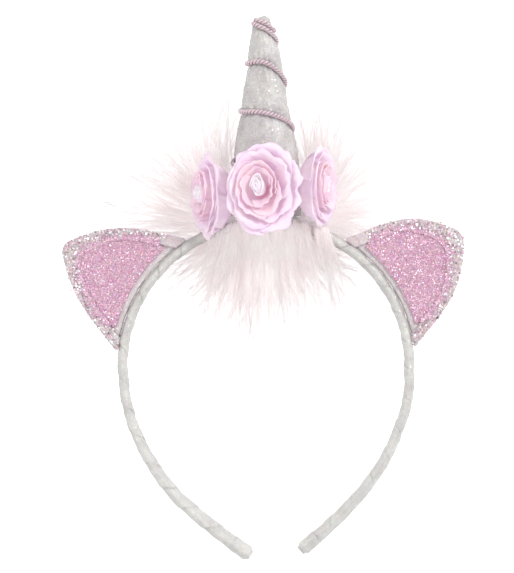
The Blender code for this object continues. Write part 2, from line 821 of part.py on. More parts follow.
def fluff_locks():
    middle = Vector(FLUFF_MIDDLE)
    burst = Vector((*FLUFF_BURST, 0))
    locks = []
    for _, count, first, share, root_depth, tip_depth in FLUFF_LAYERS:
        for index in range(count):
            degrees = (first + 360 * index / count) % 360
            if abs(degrees - 90) < BEHIND_HORN:
                continue
            angle = math.radians(degrees)
            heading = Vector((math.cos(angle), math.sin(angle), 0))
            reach = FLUFF_REACH * smooth(FLUFF_OUTLINE, degrees) * share
            reach *= LOCK_LENGTHS[index % len(LOCK_LENGTHS)]
            root = middle + Vector((heading.x * FLUFF_CORE[0] * ROOT_SPREAD[0],
                                    heading.y * FLUFF_CORE[1] * ROOT_SPREAD[1],
                                    root_depth * FLUFF_CORE[2]))
            if heading.y > UPWARD:
                beside = HORN_BASE_RADIUS + FLUFF_CLEARANCE + LOCK_ROOT_RADIUS
                root.x = math.copysign(max(abs(root.x), beside), heading.x)
            tip = burst + heading * reach
            tip.z = middle.z + tip_depth * FLUFF_CORE[2]
            locks.append(lock_mesh(root, tip, LOCK_BOW, LOCK_ROOT_RADIUS, LOCK_FLATNESS))
    for place in FRONT_LOCKS:
        root = Vector((middle.x + place * FLUFF_CORE[0],
                       middle.y - FRONT_LOCK_ROOT * FLUFF_CORE[1], 0))
        tip = root + Vector((place * FRONT_LOCK_LEAN, FRONT_LOCK_LENGTH, FRONT_LOCK_LIFT))
        locks.append(lock_mesh(root, tip, FRONT_LOCK_BOW, FRONT_LOCK_RADIUS,
                               FRONT_LOCK_FLATNESS))
    return locks


def fluff_cutters(shop):
    """Room for the band, the horn with its cord and the roses."""
    tube = strap(shop, "band_room", [
        (spot, 0.0, 1 + FLUFF_CLEARANCE / (BAND_THICKNESS / 2)) for spot, share in band_route()
        if share < 0.5])
    yield shop.cutter("room_for_band", shop.mesh_of(tube, "room_for_band"))

    def horn_room(u, v):
        height = v * HORN_ROOM_HEIGHT - GAP / HORN_HEIGHT
        cord = CORD_DIAMETER + GAP if height > CORD_ROUTE[-1][1] - CORD_REACH_DOWN else 0.0
        radius = horn_radius(height) + FLUFF_CLEARANCE + cord
        return horn_middle(height) + around_horn(u % 1.0) * radius

    yield shop.cutter("room_for_horn", bent_grid("room", 16, 12, horn_room, closed=True))
    for rose in ROSES:
        name, _, _, radius, stretch, depth, _, _ = rose

        def rose_room(u, v, radius=radius, stretch=stretch, depth=depth):
            out = radius * smooth(ROSE_ROOM, v)
            angle = math.tau * u
            height = ROSE_ROOM_START + (ROSE_ROOM_END - ROSE_ROOM_START) * v
            return Vector((out * math.cos(angle), out * math.sin(angle) * stretch,
                           height * depth))

        room = shop.cutter(f"room_for_{name}_rose",
                           bent_grid("room", 14, 5, rose_room, closed=True))
        room.matrix_local = rose_frame(rose)[0]
        yield room


def make_fluff(shop, down):
    shape = bmesh.new()
    bmesh.ops.create_uvsphere(shape, u_segments=14, v_segments=8, radius=1.0)
    for corner in shape.verts:
        spot = Vector([c * size for c, size in zip(corner.co, FLUFF_CORE)])
        corner.co = above_floor(spot + Vector(FLUFF_MIDDLE))
    core = bpy.data.meshes.new("fluff_core")
    shape.to_mesh(core)
    shape.free()
    locks = shop.cutter("fluff_locks", joined("fluff_locks", fluff_locks()))
    fluff = shop.piece("marabou_fluff", core, down)
    add_boolean(fluff, locks, "UNION", own=True)
    for cutter in fluff_cutters(shop):
        add_boolean(fluff, cutter)
    soften(fluff, 50)


def rest_on_ground(shop):
    """Put the lowest point at zero and the middle of the box over the origin."""
    bpy.context.view_layer.update()
    graph = bpy.context.evaluated_depsgraph_get()
    spots = []
    for item in shop.parts.objects:
        if item.type == "EMPTY":
            continue
        evaluated = item.evaluated_get(graph)
        mesh = evaluated.to_mesh()
        spots.extend(evaluated.matrix_world @ corner.co for corner in mesh.vertices)
        evaluated.to_mesh_clear()
    low = [min(spot[axis] for spot in spots) for axis in range(3)]
    high = [max(spot[axis] for spot in spots) for axis in range(3)]
    shop.ring.location = (-(low[0] + high[0]) / 2, -(low[1] + high[1]) / 2, -low[2])


def main():
    clear_scene()
    shop = Workshop()
    ribbon = material("ribbon", (0.80, 0.79, 0.78), 0.45)
    horn_fabric = material("horn_fabric", (0.74, 0.73, 0.71), 0.50)
    cord = material("cord", (0.72, 0.44, 0.53), 0.60)
    felt = material("ear_felt", (0.82, 0.81, 0.80), 0.70)
    glitter = material("pink_glitter", (0.72, 0.46, 0.58), 0.40)
    sequins = material("silver_glitter", (0.78, 0.74, 0.76), 0.25, 0.4)
    outer_satin = material("satin_outer", (0.83, 0.58, 0.70), 0.35)
    inner_satin = material("satin_inner", (0.85, 0.54, 0.66), 0.35)
    bud_satin = material("satin_bud", (0.88, 0.66, 0.75), 0.30)
    down = material("down", (0.92, 0.86, 0.85), 0.90)

    make_band(shop, ribbon)
    make_horn(shop, horn_fabric, cord)
    make_ears(shop, felt, glitter, sequins)
    for rose in ROSES:
        make_rose(shop, rose, outer_satin, inner_satin, bud_satin)
    make_fluff(shop, down)
    rest_on_ground(shop)


main()
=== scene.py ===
"""Looks of the unicorn horn headband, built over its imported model."""
import math
from collections import namedtuple

import bpy
import numpy as np
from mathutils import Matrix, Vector


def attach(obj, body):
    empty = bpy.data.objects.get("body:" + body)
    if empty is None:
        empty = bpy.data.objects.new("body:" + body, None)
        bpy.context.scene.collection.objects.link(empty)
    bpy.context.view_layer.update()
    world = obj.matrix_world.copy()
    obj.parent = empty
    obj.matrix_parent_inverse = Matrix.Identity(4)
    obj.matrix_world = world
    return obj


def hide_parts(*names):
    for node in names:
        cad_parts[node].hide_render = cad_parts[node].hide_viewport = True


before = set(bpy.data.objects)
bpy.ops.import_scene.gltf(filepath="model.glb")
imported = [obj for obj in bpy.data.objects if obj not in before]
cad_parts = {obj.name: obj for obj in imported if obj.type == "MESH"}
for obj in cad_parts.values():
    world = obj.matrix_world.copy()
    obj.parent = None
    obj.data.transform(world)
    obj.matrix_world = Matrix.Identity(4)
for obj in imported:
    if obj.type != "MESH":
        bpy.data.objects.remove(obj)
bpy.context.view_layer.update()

MM = 0.001
GAP = 0.3 * MM
RIPPLE_WAVES = 10

# The ring's own frame: +X right, +Y up the horn, +Z to the front, origin at its middle.
# The lying band leans this far on its tips and its fluff
RING_TILT = math.radians(4.542)

# Band, as the frame has it, and the ribbon wound round it
BAND_RADIUS = 68.8 * MM
BAND_THICKNESS = 4.8 * MM
BAND_WIDTH = 9.0 * MM
BAND_SQUARENESS = 2.6
BAND_OUTER = BAND_RADIUS + BAND_THICKNESS / 2
LEFT_ARM_DROP = 91.0 * MM
RIGHT_ARM_DROP = 88.6 * MM
TIP_TWIST = math.radians(27)
# Columns: drop, left out, right out
ARM_STATIONS = (
    (0.00, 1.000, 1.000),
    (0.17, 0.977, 0.991),
    (0.34, 0.912, 0.926),
    (0.51, 0.797, 0.826),
    (0.68, 0.630, 0.672),
    (0.85, 0.372, 0.462),
    (1.00, 0.105, 0.240),
)
ARM_POINTS, ARC_POINTS = 240, 400
BAND_STEP = 0.55 * MM
BAND_SIDES = 36
RIBBON_PITCH = 14.0 * MM
RIBBON_LAP = 0.42 * MM
CAP_LENGTH = 11.0 * MM
CAP_PROUD = 0.35 * MM
CAP_NOSE = 2.6 * MM
# The ribbon steps up over its last turn within this share of a turn, then thins out
LAP_STEP = 0.045
RIBBON_SINK = 0.18 * MM
# Its turns drift by this share of a turn, to and fro over this length
RIBBON_DRIFT = 0.05
RIBBON_DRIFT_LENGTH = 47.0 * MM
RIBBON_CRUMPLE = 0.10 * MM
RIBBON_PUCKER = 0.07 * MM
# Inside the caps the strip is drawn in to this share of its section
UNDER_CAP = 0.72
CAP_OVERLAP = 2.0 * MM
CAP_HEM = 0.5 * MM
BAND_GLITTER = 7000

# Horn
HORN_FOOT = BAND_OUTER + GAP
HORN_HEIGHT = 96.5 * MM
HORN_BASE_RADIUS = 16.5 * MM
HORN_LEAN = 1.7 * MM
# Columns: height, radius, lean
HORN_SECTIONS = (
    (0.00, 1.000, 0.00),
    (0.19, 0.990, 0.00),
    (0.29, 0.940, 0.00),
    (0.36, 0.880, 0.05),
    (0.43, 0.800, 0.10),
    (0.49, 0.735, 0.15),
    (0.57, 0.665, 0.25),
    (0.67, 0.585, 0.30),
    (0.81, 0.450, 0.50),
    (0.90, 0.350, 0.75),
    (0.96, 0.265, 0.95),
    (0.99, 0.165, 1.00),
    (1.00, 0.060, 1.00),
)
HORN_SIDES = 150
HORN_ROWS = 250
HORN_GLITTER = 6000
# Puckers run from the cord, this many round the horn and this many up it
PUCKERS_ROUND = 17
PUCKERS_UP = 2.2
PUCKER_DEPTH = 0.30 * MM
FOLD_DEPTH = 0.34 * MM
CRUMPLE_DEPTH = 0.10 * MM
# The cloth's peak turns over a little at the tip
HORN_PEAK = np.array([0.9, 0.3, 0.4]) * MM

# Cord wound down the horn; a turn starts on the left and passes the front first
CORD_GROOVE = 1.2 * MM
CORD_GROOVE_REACH = 2.4 * MM
# Columns: turn, height
CORD_ROUTE = (
    (0.00, 0.962),
    (0.25, 0.938),
    (0.50, 0.880),
    (0.75, 0.818),
    (1.00, 0.762),
    (1.25, 0.764),
    (1.50, 0.672),
    (1.75, 0.592),
    (2.00, 0.526),
    (2.25, 0.512),
    (2.50, 0.446),
    (2.75, 0.360),
    (3.00, 0.270),
    (3.10, 0.250),
)
# At the tip the cord is bunched: one more turn close above the first
CORD_TOP = (
    (-1.00, 0.985),
    (-0.75, 0.966),
    (-0.50, 0.928),
    (-0.25, 0.945),
)
CORD_POINTS = 1000
PLY_RADIUS = 0.60 * MM
PLY_ORBIT = 0.56 * MM
PLY_PITCH = 3.5 * MM
PLY_SIDES = 8
PLY_STEP = 0.28 * MM
PLY_SINK = 0.25 * MM

# Ears
EAR_THICKNESS = 3.0 * MM
EARS = ("left", "right")
PANEL_SWELL = 0.35 * MM
BORDER_SWELL = 0.9 * MM
# The border is bare this near to the band, above each ear
BARE_RUN = 7.0 * MM
BARE_FROM = 45.0 * MM
SPILT_REACH = 0.6 * MM
STRAY_GLITTER_REACH = 1.0 * MM
PANEL_SPREAD = 1.5 * MM
PANEL_SPREAD_REACH = 6.0 * MM


def smooth(table, at, column=1):
    """Read a column of a table at values of its first column, on a smooth curve."""
    rows = np.array(table, float)
    keys, values = rows[:, 0], rows[:, column]
    before = np.r_[0, np.arange(len(keys) - 1)]
    after = np.r_[np.arange(1, len(keys)), len(keys) - 1]
    slopes = (values[after] - values[before]) / (keys[after] - keys[before])
    at = np.asarray(at, float)
    row = np.clip(np.searchsorted(keys, at, side="left") - 1, 0, len(keys) - 2)
    span = keys[row + 1] - keys[row]
    t = np.clip((at - keys[row]) / span, 0, 1)
    rise = (3 - 2 * t) * t * t
    bend_in = t * (1 - t) ** 2 * span * slopes[row]
    bend_out = t * t * (1 - t) * span * slopes[row + 1]
    return values[row] + (values[row + 1] - values[row]) * rise + bend_in - bend_out


def rows_of(items, name, kind=np.float32):
    """A property of all vertices or triangles of a mesh, as rows of three."""
    found = np.empty(len(items) * 3, kind)
    items.foreach_get(name, found)
    return found.reshape(-1, 3)


def points_of(mesh):
    return rows_of(mesh.vertices, "co").astype(float)


def ring_frame():
    """Turn and place of the ring, from its tilt and the middle of the horn's foot."""
    cosine, sine = math.cos(RING_TILT), math.sin(RING_TILT)
    turn = np.array([[1, 0, 0], [0, cosine, -sine], [0, sine, cosine]])
    spots = points_of(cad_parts["horn"].data) @ turn
    foot = spots[spots[:, 1] < spots[:, 1].min() + 0.01 * MM].mean(axis=0)
    return turn, turn @ (foot - [0, HORN_FOOT, 0])


TURN, PLACE = ring_frame()


def to_world(spots):
    return spots @ TURN.T + PLACE


def to_ring(spots):
    return (spots - PLACE) @ TURN


def unit(vectors):
    return vectors / np.maximum(np.linalg.norm(vectors, axis=-1, keepdims=True), 1e-12)


def around(count):
    """Even angles round a circle."""
    return math.tau * np.arange(count) / count


def run_of(line):
    """How far along a line each of its points is."""
    return np.r_[0, np.cumsum(np.linalg.norm(np.diff(line, axis=0), axis=1))]


def read_at(marks, run, values):
    """Rows of values, read at marks along a run."""
    return np.stack([np.interp(marks, run, column) for column in values.T], axis=1)


def grey(values):
    """Each value as equal red, green and blue."""
    return np.repeat(np.reshape(values, (-1, 1)), 3, axis=1)


def ripple(spots, size, seed):
    """Smooth irregular relief, about -1 to 1, with features of about this size."""
    chance = np.random.default_rng(seed)
    total = np.zeros(spots.shape[:-1])
    for _ in range(RIPPLE_WAVES):
        way = unit(chance.normal(size=3)) / (size * chance.uniform(0.7, 1.6))
        total += np.sin(math.tau * spots @ way + chance.uniform(0, math.tau))
    return total / math.sqrt(RIPPLE_WAVES)


def grid_faces(rows, columns, closed):
    """Quads of a grid numbered row by row; a closed one wraps round its columns."""
    across = columns if closed else columns - 1
    row, column = np.meshgrid(np.arange(rows - 1), np.arange(across), indexing="ij")
    after = (column + 1) % columns
    corners = [row * columns + column, row * columns + after,
               (row + 1) * columns + after, (row + 1) * columns + column]
    return np.stack(corners, axis=-1).reshape(-1, 4)


def placed(name, data):
    """A new object of the scene."""
    item = bpy.data.objects.new(name, data)
    bpy.context.scene.collection.objects.link(item)
    return item


def finish_mesh(name, mesh, surface, nodes, smoothed):
    """A mesh as a piece with one material; it replaces the named nodes."""
    if smoothed:
        mesh.shade_smooth()
    mesh.materials.clear()
    mesh.materials.append(surface)
    item = placed(name, mesh)
    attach(item, "root")
    if nodes:
        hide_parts(*nodes)
    return item


def build(name, spots, faces, surface, nodes=(), tint=None, uv=None, smoothed=True):
    """A piece from points in the ring's frame and faces with the same number of corners."""
    mesh = bpy.data.meshes.new(name)
    mesh.vertices.add(len(spots))
    mesh.vertices.foreach_set("co", to_world(spots).ravel())
    mesh.loops.add(faces.size)
    mesh.loops.foreach_set("vertex_index", faces.ravel())
    mesh.polygons.add(len(faces))
    mesh.polygons.foreach_set("loop_start", np.arange(len(faces)) * faces.shape[1])
    mesh.update(calc_edges=True)
    if tint is not None:
        layer = mesh.color_attributes.new("tint", "FLOAT_COLOR", "POINT")
        colours = np.ones((len(spots), 4))
        colours[:, :3] = tint
        layer.data.foreach_set("color", colours.ravel())
    if uv is not None:
        layer = mesh.uv_layers.new(name="UVMap")
        layer.data.foreach_set("uv", uv[faces.ravel()].ravel())
    return finish_mesh(name, mesh, surface, nodes, smoothed)


# Materials
class Surface:
    """A Principled material whose colour, gloss and relief come from its nodes."""

    def __init__(self, name, roughness, metallic=0.0, sheen=0.0, sheen_roughness=0.5):
        self.material = bpy.data.materials.new(name)
        self.material.use_nodes = True
        self.nodes = self.material.node_tree.nodes
        self.links = self.material.node_tree.links
        self.shader = self.nodes["Principled BSDF"]
        for socket, value in (("Roughness", roughness), ("Metallic", metallic),
                              ("Sheen Weight", sheen), ("Sheen Roughness", sheen_roughness)):
            self.shader.inputs[socket].default_value = value
        self.place = self.nodes.new("ShaderNodeTexCoord")

    def add(self, kind, **values):
        node = self.nodes.new("ShaderNode" + kind)
        for key, value in values.items():
            if hasattr(node, key):
                setattr(node, key, value)
            else:
                node.inputs[key.replace("_", " ").title()].default_value = value
        return node

    def link(self, source, node, socket):
        self.links.new(source, node.inputs[socket])
        return node

    def noise(self, size, detail=3.0):
        node = self.add("TexNoise", Scale=1.0 / size, Detail=detail)
        self.link(self.place.outputs["Object"], node, "Vector")
        return node.outputs["Fac"]

    def cells(self, size):
        node = self.add("TexVoronoi", Scale=1.0 / size)
        self.link(self.place.outputs["Object"], node, "Vector")
        return node.outputs["Color"]

    def ramp(self, source, *stops):
        """Colours along a value; each stop is a place and a colour."""
        node = self.add("ValToRGB")
        ramp = node.color_ramp
        while len(ramp.elements) < len(stops):
            ramp.elements.new(1.0)
        for element, (place, colour) in zip(ramp.elements, stops):
            element.position = place
            element.color = (*colour, 1.0)
        self.link(source, node, "Fac")
        return node.outputs["Color"]

    def mix(self, share, first, second, blend="MIX"):
        """Two colours mixed; each is a socket or a plain colour."""
        node = self.add("Mix", data_type="RGBA", blend_type=blend)
        for socket, value in ((0, share), (6, first), (7, second)):
            if isinstance(value, bpy.types.NodeSocket):
                self.links.new(value, node.inputs[socket])
            elif socket:
                node.inputs[socket].default_value = (*value, 1.0)
            else:
                node.inputs[socket].default_value = value
        return node.outputs[2]

    def tint(self):
        return self.add("Attribute", attribute_name="tint").outputs["Color"]

    def colour(self, source):
        self.link(source, self.shader, "Base Color")

    def rough(self, source, low, high):
        """Roughness that follows a value, from low to high."""
        node = self.add("MapRange", To_Min=low, To_Max=high)
        self.link(source, node, "Value")
        self.link(node.outputs["Result"], self.shader, "Roughness")

    def painted_rim_shade(self, source, least):
        """Painted shade: the colour deepened where the surface turns away from the view."""
        edge = self.add("LayerWeight", Blend=0.35)
        shade = self.ramp(edge.outputs["Facing"], (0.25, (1, 1, 1)), (0.95, (least,) * 3))
        return self.mix(1.0, source, shade, "MULTIPLY")

    def let_light_through(self, source, share):
        """Mix in some light from behind, as thin cloth and down pass it on."""
        through = self.add("BsdfTranslucent")
        self.link(source, through, "Color")
        blend = self.add("MixShader")
        blend.inputs[0].default_value = share
        self.links.new(self.shader.outputs[0], blend.inputs[1])
        self.links.new(through.outputs[0], blend.inputs[2])
        self.links.new(blend.outputs[0], self.nodes["Material Output"].inputs["Surface"])

    def painted_glow(self, source, strength):
        """Painted light: a little glow of its own, standing in for what scatters inside pale down
        and thin satin.
        """
        self.link(source, self.shader, "Emission Color")
        self.shader.inputs["Emission Strength"].default_value = strength

    def relief(self, source, depth, after=None):
        node = self.add("Bump", Strength=1.0, Distance=depth)
        self.link(source, node, "Height")
        if after is not None:
            self.link(after, node, "Normal")
        self.link(node.outputs["Normal"], self.shader, "Normal")
        return node.outputs["Normal"]

    def facets(self, cells, lean, base):
        """Tilt each cell's normal its own way, as a flake of glitter lies."""
        offset = self.add("VectorMath", operation="SUBTRACT")
        offset.inputs[1].default_value = (0.5, 0.5, 0.5)
        scaled = self.add("VectorMath", operation="SCALE", Scale=lean)
        total = self.add("VectorMath", operation="ADD")
        result = self.add("VectorMath", operation="NORMALIZE")
        self.link(base, total, 1)
        source = cells
        for node in (offset, scaled, total, result):
            source = self.link(source, node, 0).outputs[0]
        self.link(source, self.shader, "Normal")


def glitter_cloth(name, pale, deep, flake, lean, roughness, metallic, shaded_laps=False):
    """Cloth set all over with fine glitter: each cell has its own colour, gloss and tilt."""
    surface = Surface(name, roughness, metallic, sheen=0.25)
    cells = surface.cells(flake)
    cloudy = surface.ramp(surface.noise(9 * MM), (0.30, deep), (0.65, pale))
    speckled = surface.mix(0.22, cloudy, cells, "SOFT_LIGHT")
    # Painted shade from the tint attribute: along the ribbon's seams and the caps' hems.
    if shaded_laps:
        speckled = surface.mix(1.0, speckled, surface.tint(), "MULTIPLY")
    # Painted shade: the cloth's colour darkened towards its rim, where it turns from the view.
    surface.colour(surface.painted_rim_shade(speckled, 0.62))
    surface.rough(surface.noise(flake * 1.5, 1.0), roughness * 0.55, roughness * 1.5)
    bumped = surface.relief(surface.noise(0.35 * MM, 4.0), 0.12 * MM)
    surface.facets(cells, lean, bumped)
    return surface.material


def flake_surface(name, roughness, metallic):
    surface = Surface(name, roughness, metallic)
    surface.colour(surface.mix(0.12, surface.tint(), surface.cells(1.1 * MM), "OVERLAY"))
    surface.rough(surface.noise(0.9 * MM, 1.0), roughness * 0.6, roughness * 1.5)
    return surface.material


def satin(name, pale, deep):
    """Satin painted a deeper colour at the feet of its petals than on its open cloth: painted shade
    in the rose's crevices.
    """
    surface = Surface(name, 0.36, sheen=0.3, sheen_roughness=0.35)
    surface.shader.inputs["Specular IOR Level"].default_value = 0.5
    surface.shader.inputs["Anisotropic"].default_value = 0.4
    # Painted shade: the deep colour where the tint attribute is low, at the feet of the petals and
    # the bud.
    crevice_shade = surface.add("Attribute", attribute_name="tint").outputs["Fac"]
    base = surface.ramp(crevice_shade, (0.0, deep), (0.30, pale), (1.0, pale))
    cloudy = surface.ramp(surface.noise(6 * MM), (0.35, (0.97, 0.93, 1.0)), (0.60, (1, 1, 1)))
    tinted = surface.mix(1.0, base, cloudy, "MULTIPLY")
    surface.colour(tinted)
    surface.rough(surface.noise(2.5 * MM), 0.26, 0.46)
    weave = surface.add("TexWave", Scale=1 / (0.28 * MM) / 10, Distortion=0.4)
    surface.link(surface.place.outputs["Object"], weave, "Vector")
    woven = surface.relief(weave.outputs["Fac"], 0.012 * MM)
    surface.relief(surface.noise(1.6 * MM, 5.0), 0.12 * MM, woven)
    surface.let_light_through(tinted, 0.35)
    # Painted light: the satin glows a little.
    surface.painted_glow(tinted, 0.11)
    return surface.material


def felt_surface():
    surface = Surface("ear_felt_cloth", 0.75, sheen=0.4)
    surface.colour(surface.ramp(surface.noise(3 * MM, 6.0), (0.3, (0.60, 0.53, 0.54)),
                                (0.7, (0.71, 0.64, 0.65))))
    surface.rough(surface.noise(0.5 * MM), 0.6, 0.9)
    surface.relief(surface.noise(0.4 * MM, 6.0), 0.16 * MM)
    return surface.material


def thread_surface():
    """Satin thread: fine fibres wind along each ply; each ply's side towards the other is painted a
    deeper dusty rose, as painted shade between the plies.
    """
    surface = Surface("cord_thread", 0.42, sheen=0.5, sheen_roughness=0.3)
    fibres = surface.add("TexWave", Scale=1.6, Distortion=1.5, bands_direction="DIAGONAL")
    surface.link(surface.place.outputs["UV"], fibres, "Vector")
    # Painted shade: dusty rose where the tint attribute is low, on the plies' inner sides.
    base = surface.ramp(surface.tint(), (0.56, (0.66, 0.31, 0.42)), (0.82, (0.99, 0.86, 0.91)))
    lines = surface.ramp(fibres.outputs["Fac"], (0.1, (0.84, 0.80, 0.82)), (0.8, (1, 1, 1)))
    surface.colour(surface.mix(1.0, base, lines, "MULTIPLY"))
    surface.rough(fibres.outputs["Fac"], 0.55, 0.32)
    surface.relief(fibres.outputs["Fac"], 0.10 * MM)
    return surface.material


def down_surface():
    """Down: pale barbs that let light through."""
    surface = Surface("marabou_down", 0.8, sheen=0.2)
    cloudy = surface.ramp(surface.noise(14 * MM), (0.35, (0.99, 0.965, 0.965)), (0.65, (1, 1, 1)))
    tinted = surface.mix(1.0, surface.tint(), cloudy, "MULTIPLY")
    surface.colour(tinted)
    surface.rough(surface.noise(3 * MM), 0.7, 0.95)
    surface.let_light_through(tinted, 0.50)
    # Painted light: the down glows a little.
    surface.painted_glow(tinted, 0.20)
    return surface.material


# Loose glitter: flat flakes scattered over a surface
def triangles(mesh):
    """The corners of a mesh's triangles, by the numbers of their vertices."""
    mesh.calc_loop_triangles()
    return rows_of(mesh.loop_triangles, "vertices", np.int32)


def scatter(spots, corners, count, chance, facing):
    """Even random places, and their normals, on the faces that look enough to the front."""
    a, b, c = (spots[corners[:, k]] for k in range(3))
    cross = np.cross(b - a, c - a)
    area = np.linalg.norm(cross, axis=1)
    area = area * (cross[:, 2] > facing * np.maximum(area, 1e-15))
    chosen = chance.choice(len(corners), size=count, p=area / area.sum())
    share = np.sqrt(chance.random(count))[:, None]
    part = chance.random(count)[:, None]
    place = (1 - share) * a[chosen] + share * (1 - part) * b[chosen] + share * part * c[chosen]
    return place, unit(cross[chosen])


Flake = namedtuple("Flake", "smallest largest sides lean lowest highest")
LOOSE = Flake(0.25, 0.50, 4, 0.40, 0.02, 0.10)
ON_RIBBON = Flake(0.22, 0.45, 4, 0.45, 0.02, 0.12)
ON_HORN = Flake(0.25, 0.55, 4, 0.45, 0.02, 0.12)
FINE = Flake(0.30, 0.62, 4, 0.35, 0.02, 0.22)
STRAYED = Flake(0.35, 0.70, 4, 0.30, 0.00, 0.18)
SMALL_SEQUIN = Flake(0.45, 0.80, 6, 0.50, 0.05, 0.30)
SPILT_SEQUIN = Flake(0.50, 1.10, 6, 0.35, 0.15, 0.40)
LARGE_SEQUIN = Flake(0.80, 1.40, 6, 0.28, 0.15, 0.45)


def flakes(name, places, normals, chance, kind, colours, surface):
    """Small flat flakes that lie about on a surface, each its own way and colour.

    A kind's sizes and heights over the surface are in mm."""
    count = len(places)
    face = unit(normals + kind.lean * chance.normal(size=(count, 3)))
    first = unit(np.cross(face, chance.normal(size=(count, 3))))
    second = np.cross(face, first)
    size = chance.uniform(kind.smallest * MM, kind.largest * MM, count)[:, None, None] / 2
    ring = circle(first, second, around(kind.sides))
    lift = chance.uniform(kind.lowest * MM, kind.highest * MM, count)[:, None]
    spots = ((places + normals * lift)[:, None] + ring * size).reshape(-1, 3)
    weights = np.array([row[0] for row in colours], float)
    tones = np.array([row[1:] for row in colours], float)
    picked = tones[chance.choice(len(tones), size=count, p=weights / weights.sum())]
    picked = picked * chance.uniform(0.82, 1.12, count)[:, None]
    tint = np.repeat(np.clip(picked, 0, 1), kind.sides, axis=0)
    faces = np.arange(count * kind.sides).reshape(count, kind.sides)
    build(name, spots, faces, surface, tint=tint, smoothed=False)


# Each colour's share of the flakes, then red, green and blue
PALE_GLITTER = (
    (0.55, 0.90, 0.90, 0.90),
    (0.15, 0.97, 0.97, 0.97),
    (0.12, 0.93, 0.80, 0.86),
    (0.08, 0.80, 0.88, 0.93),
    (0.10, 0.55, 0.54, 0.53),
)
FINE_GLITTER = (
    (0.50, 0.76, 0.43, 0.57),
    (0.20, 0.84, 0.54, 0.68),
    (0.14, 0.70, 0.45, 0.66),
    (0.10, 0.92, 0.80, 0.90),
    (0.06, 0.98, 0.96, 0.98),
)
COARSE_GLITTER = (
    (0.30, 0.93, 0.91, 0.92),
    (0.20, 0.88, 0.66, 0.76),
    (0.12, 0.78, 0.42, 0.57),
    (0.10, 0.80, 0.90, 0.86),
    (0.14, 0.80, 0.70, 0.66),
    (0.10, 0.45, 0.30, 0.36),
    (0.08, 0.26, 0.22, 0.24),
)
# Passed to scatter where flakes may lie on every side
ANY_WAY = -2


def sprinkle(name, item, count, seed, kind, surface):
    """Loose pale flakes all over a piece."""
    chance = np.random.default_rng(seed)
    mesh = item.data
    places, normals = scatter(to_ring(points_of(mesh)), triangles(mesh), count, chance, ANY_WAY)
    flakes(name, places, normals, chance, kind, PALE_GLITTER, surface)


# Band: a strip wound with glitter ribbon, and its two capped tips
def band_line():
    """Centre line from the left tip over the top to the right tip, in even steps."""
    down = np.linspace(0, 1, ARM_POINTS)
    left = np.c_[-BAND_RADIUS * smooth(ARM_STATIONS, down, 1), -LEFT_ARM_DROP * down, -down]
    right = np.c_[BAND_RADIUS * smooth(ARM_STATIONS, down, 2), -RIGHT_ARM_DROP * down, down]
    angle = np.linspace(math.pi, 0, ARC_POINTS)[1:-1]
    arc = np.c_[BAND_RADIUS * np.cos(angle), BAND_RADIUS * np.sin(angle), 0 * angle]
    line = np.r_[left[::-1], arc, right]
    run = run_of(line[:, :2])
    marks = np.linspace(0, run[-1], round(run[-1] / BAND_STEP))
    return marks, read_at(marks, run, line)


def strip(marks, line, proud, scale):
    """The band's section swept along its line; proud and scale vary along and around it."""
    spots = np.c_[line[:, :2], 0 * marks]
    way = unit(np.gradient(spots, axis=0))
    out = np.stack([-way[:, 1], way[:, 0], 0 * marks], axis=1)
    front = np.array([0.0, 0.0, 1.0])
    share = np.abs(line[:, 2])
    twist = TIP_TWIST * np.sign(line[:, 2]) * share * share * (3 - 2 * share)
    cosine, sine = np.cos(twist)[:, None], np.sin(twist)[:, None]
    across, up = out * cosine + front * sine, front * cosine - out * sine
    angle = around(BAND_SIDES)
    ring = np.c_[np.cos(angle), np.sin(angle)]
    half = np.array([BAND_THICKNESS, BAND_WIDTH]) / 2
    power = 2 / BAND_SQUARENESS
    flat = np.sign(ring) * np.abs(ring) ** power * half
    face = unit(np.sign(ring) * np.abs(ring) ** (power * (BAND_SQUARENESS - 1)) / half)
    section = flat[None] * scale[:, None, None] + face[None] * proud[..., None]
    return (spots[:, None] + across[:, None] * section[..., :1] + up[:, None] * section[..., 1:])


def make_ribbon(marks, line, ribbon, flake):
    """The strip in its wound ribbon, whose turns lap and leave a darker seam of painted shade along
    each lap.
    """
    angle = np.arange(BAND_SIDES) / BAND_SIDES
    turn = marks[:, None] / RIBBON_PITCH + angle[None]
    turn = turn + RIBBON_DRIFT * np.sin(math.tau * marks / RIBBON_DRIFT_LENGTH)[:, None]
    lap = turn % 1.0
    step = np.clip(lap / LAP_STEP, 0, 1)
    flat = strip(marks, line, np.zeros((len(marks), BAND_SIDES)), np.ones(len(marks)))
    proud = RIBBON_LAP * step * (1 - 0.85 * lap) - RIBBON_SINK
    proud = proud + RIBBON_CRUMPLE * ripple(flat, 5 * MM, 3)
    proud = proud + RIBBON_PUCKER * np.exp(-lap / 0.10) * ripple(flat, 1.7 * MM, 4)
    inside = np.minimum(marks, marks[-1] - marks) < CAP_LENGTH - CAP_OVERLAP
    spots = strip(marks, line, proud, np.where(inside, UNDER_CAP, 1.0))
    # Painted shade along each seam, where one turn laps over the last.
    lap_shade = 1 - 0.45 * np.exp(-((lap - 0.01) / 0.026) ** 2) * (0.6 + 0.5 * ripple(flat, 9 * MM, 5))
    wound = build("band_ribbon", spots.reshape(-1, 3), grid_faces(len(marks), BAND_SIDES, True),
                  ribbon, ["band"], grey(np.clip(lap_shade, 0.55, 1)))
    sprinkle("band_glitter", wound, BAND_GLITTER, 51, ON_RIBBON, flake)


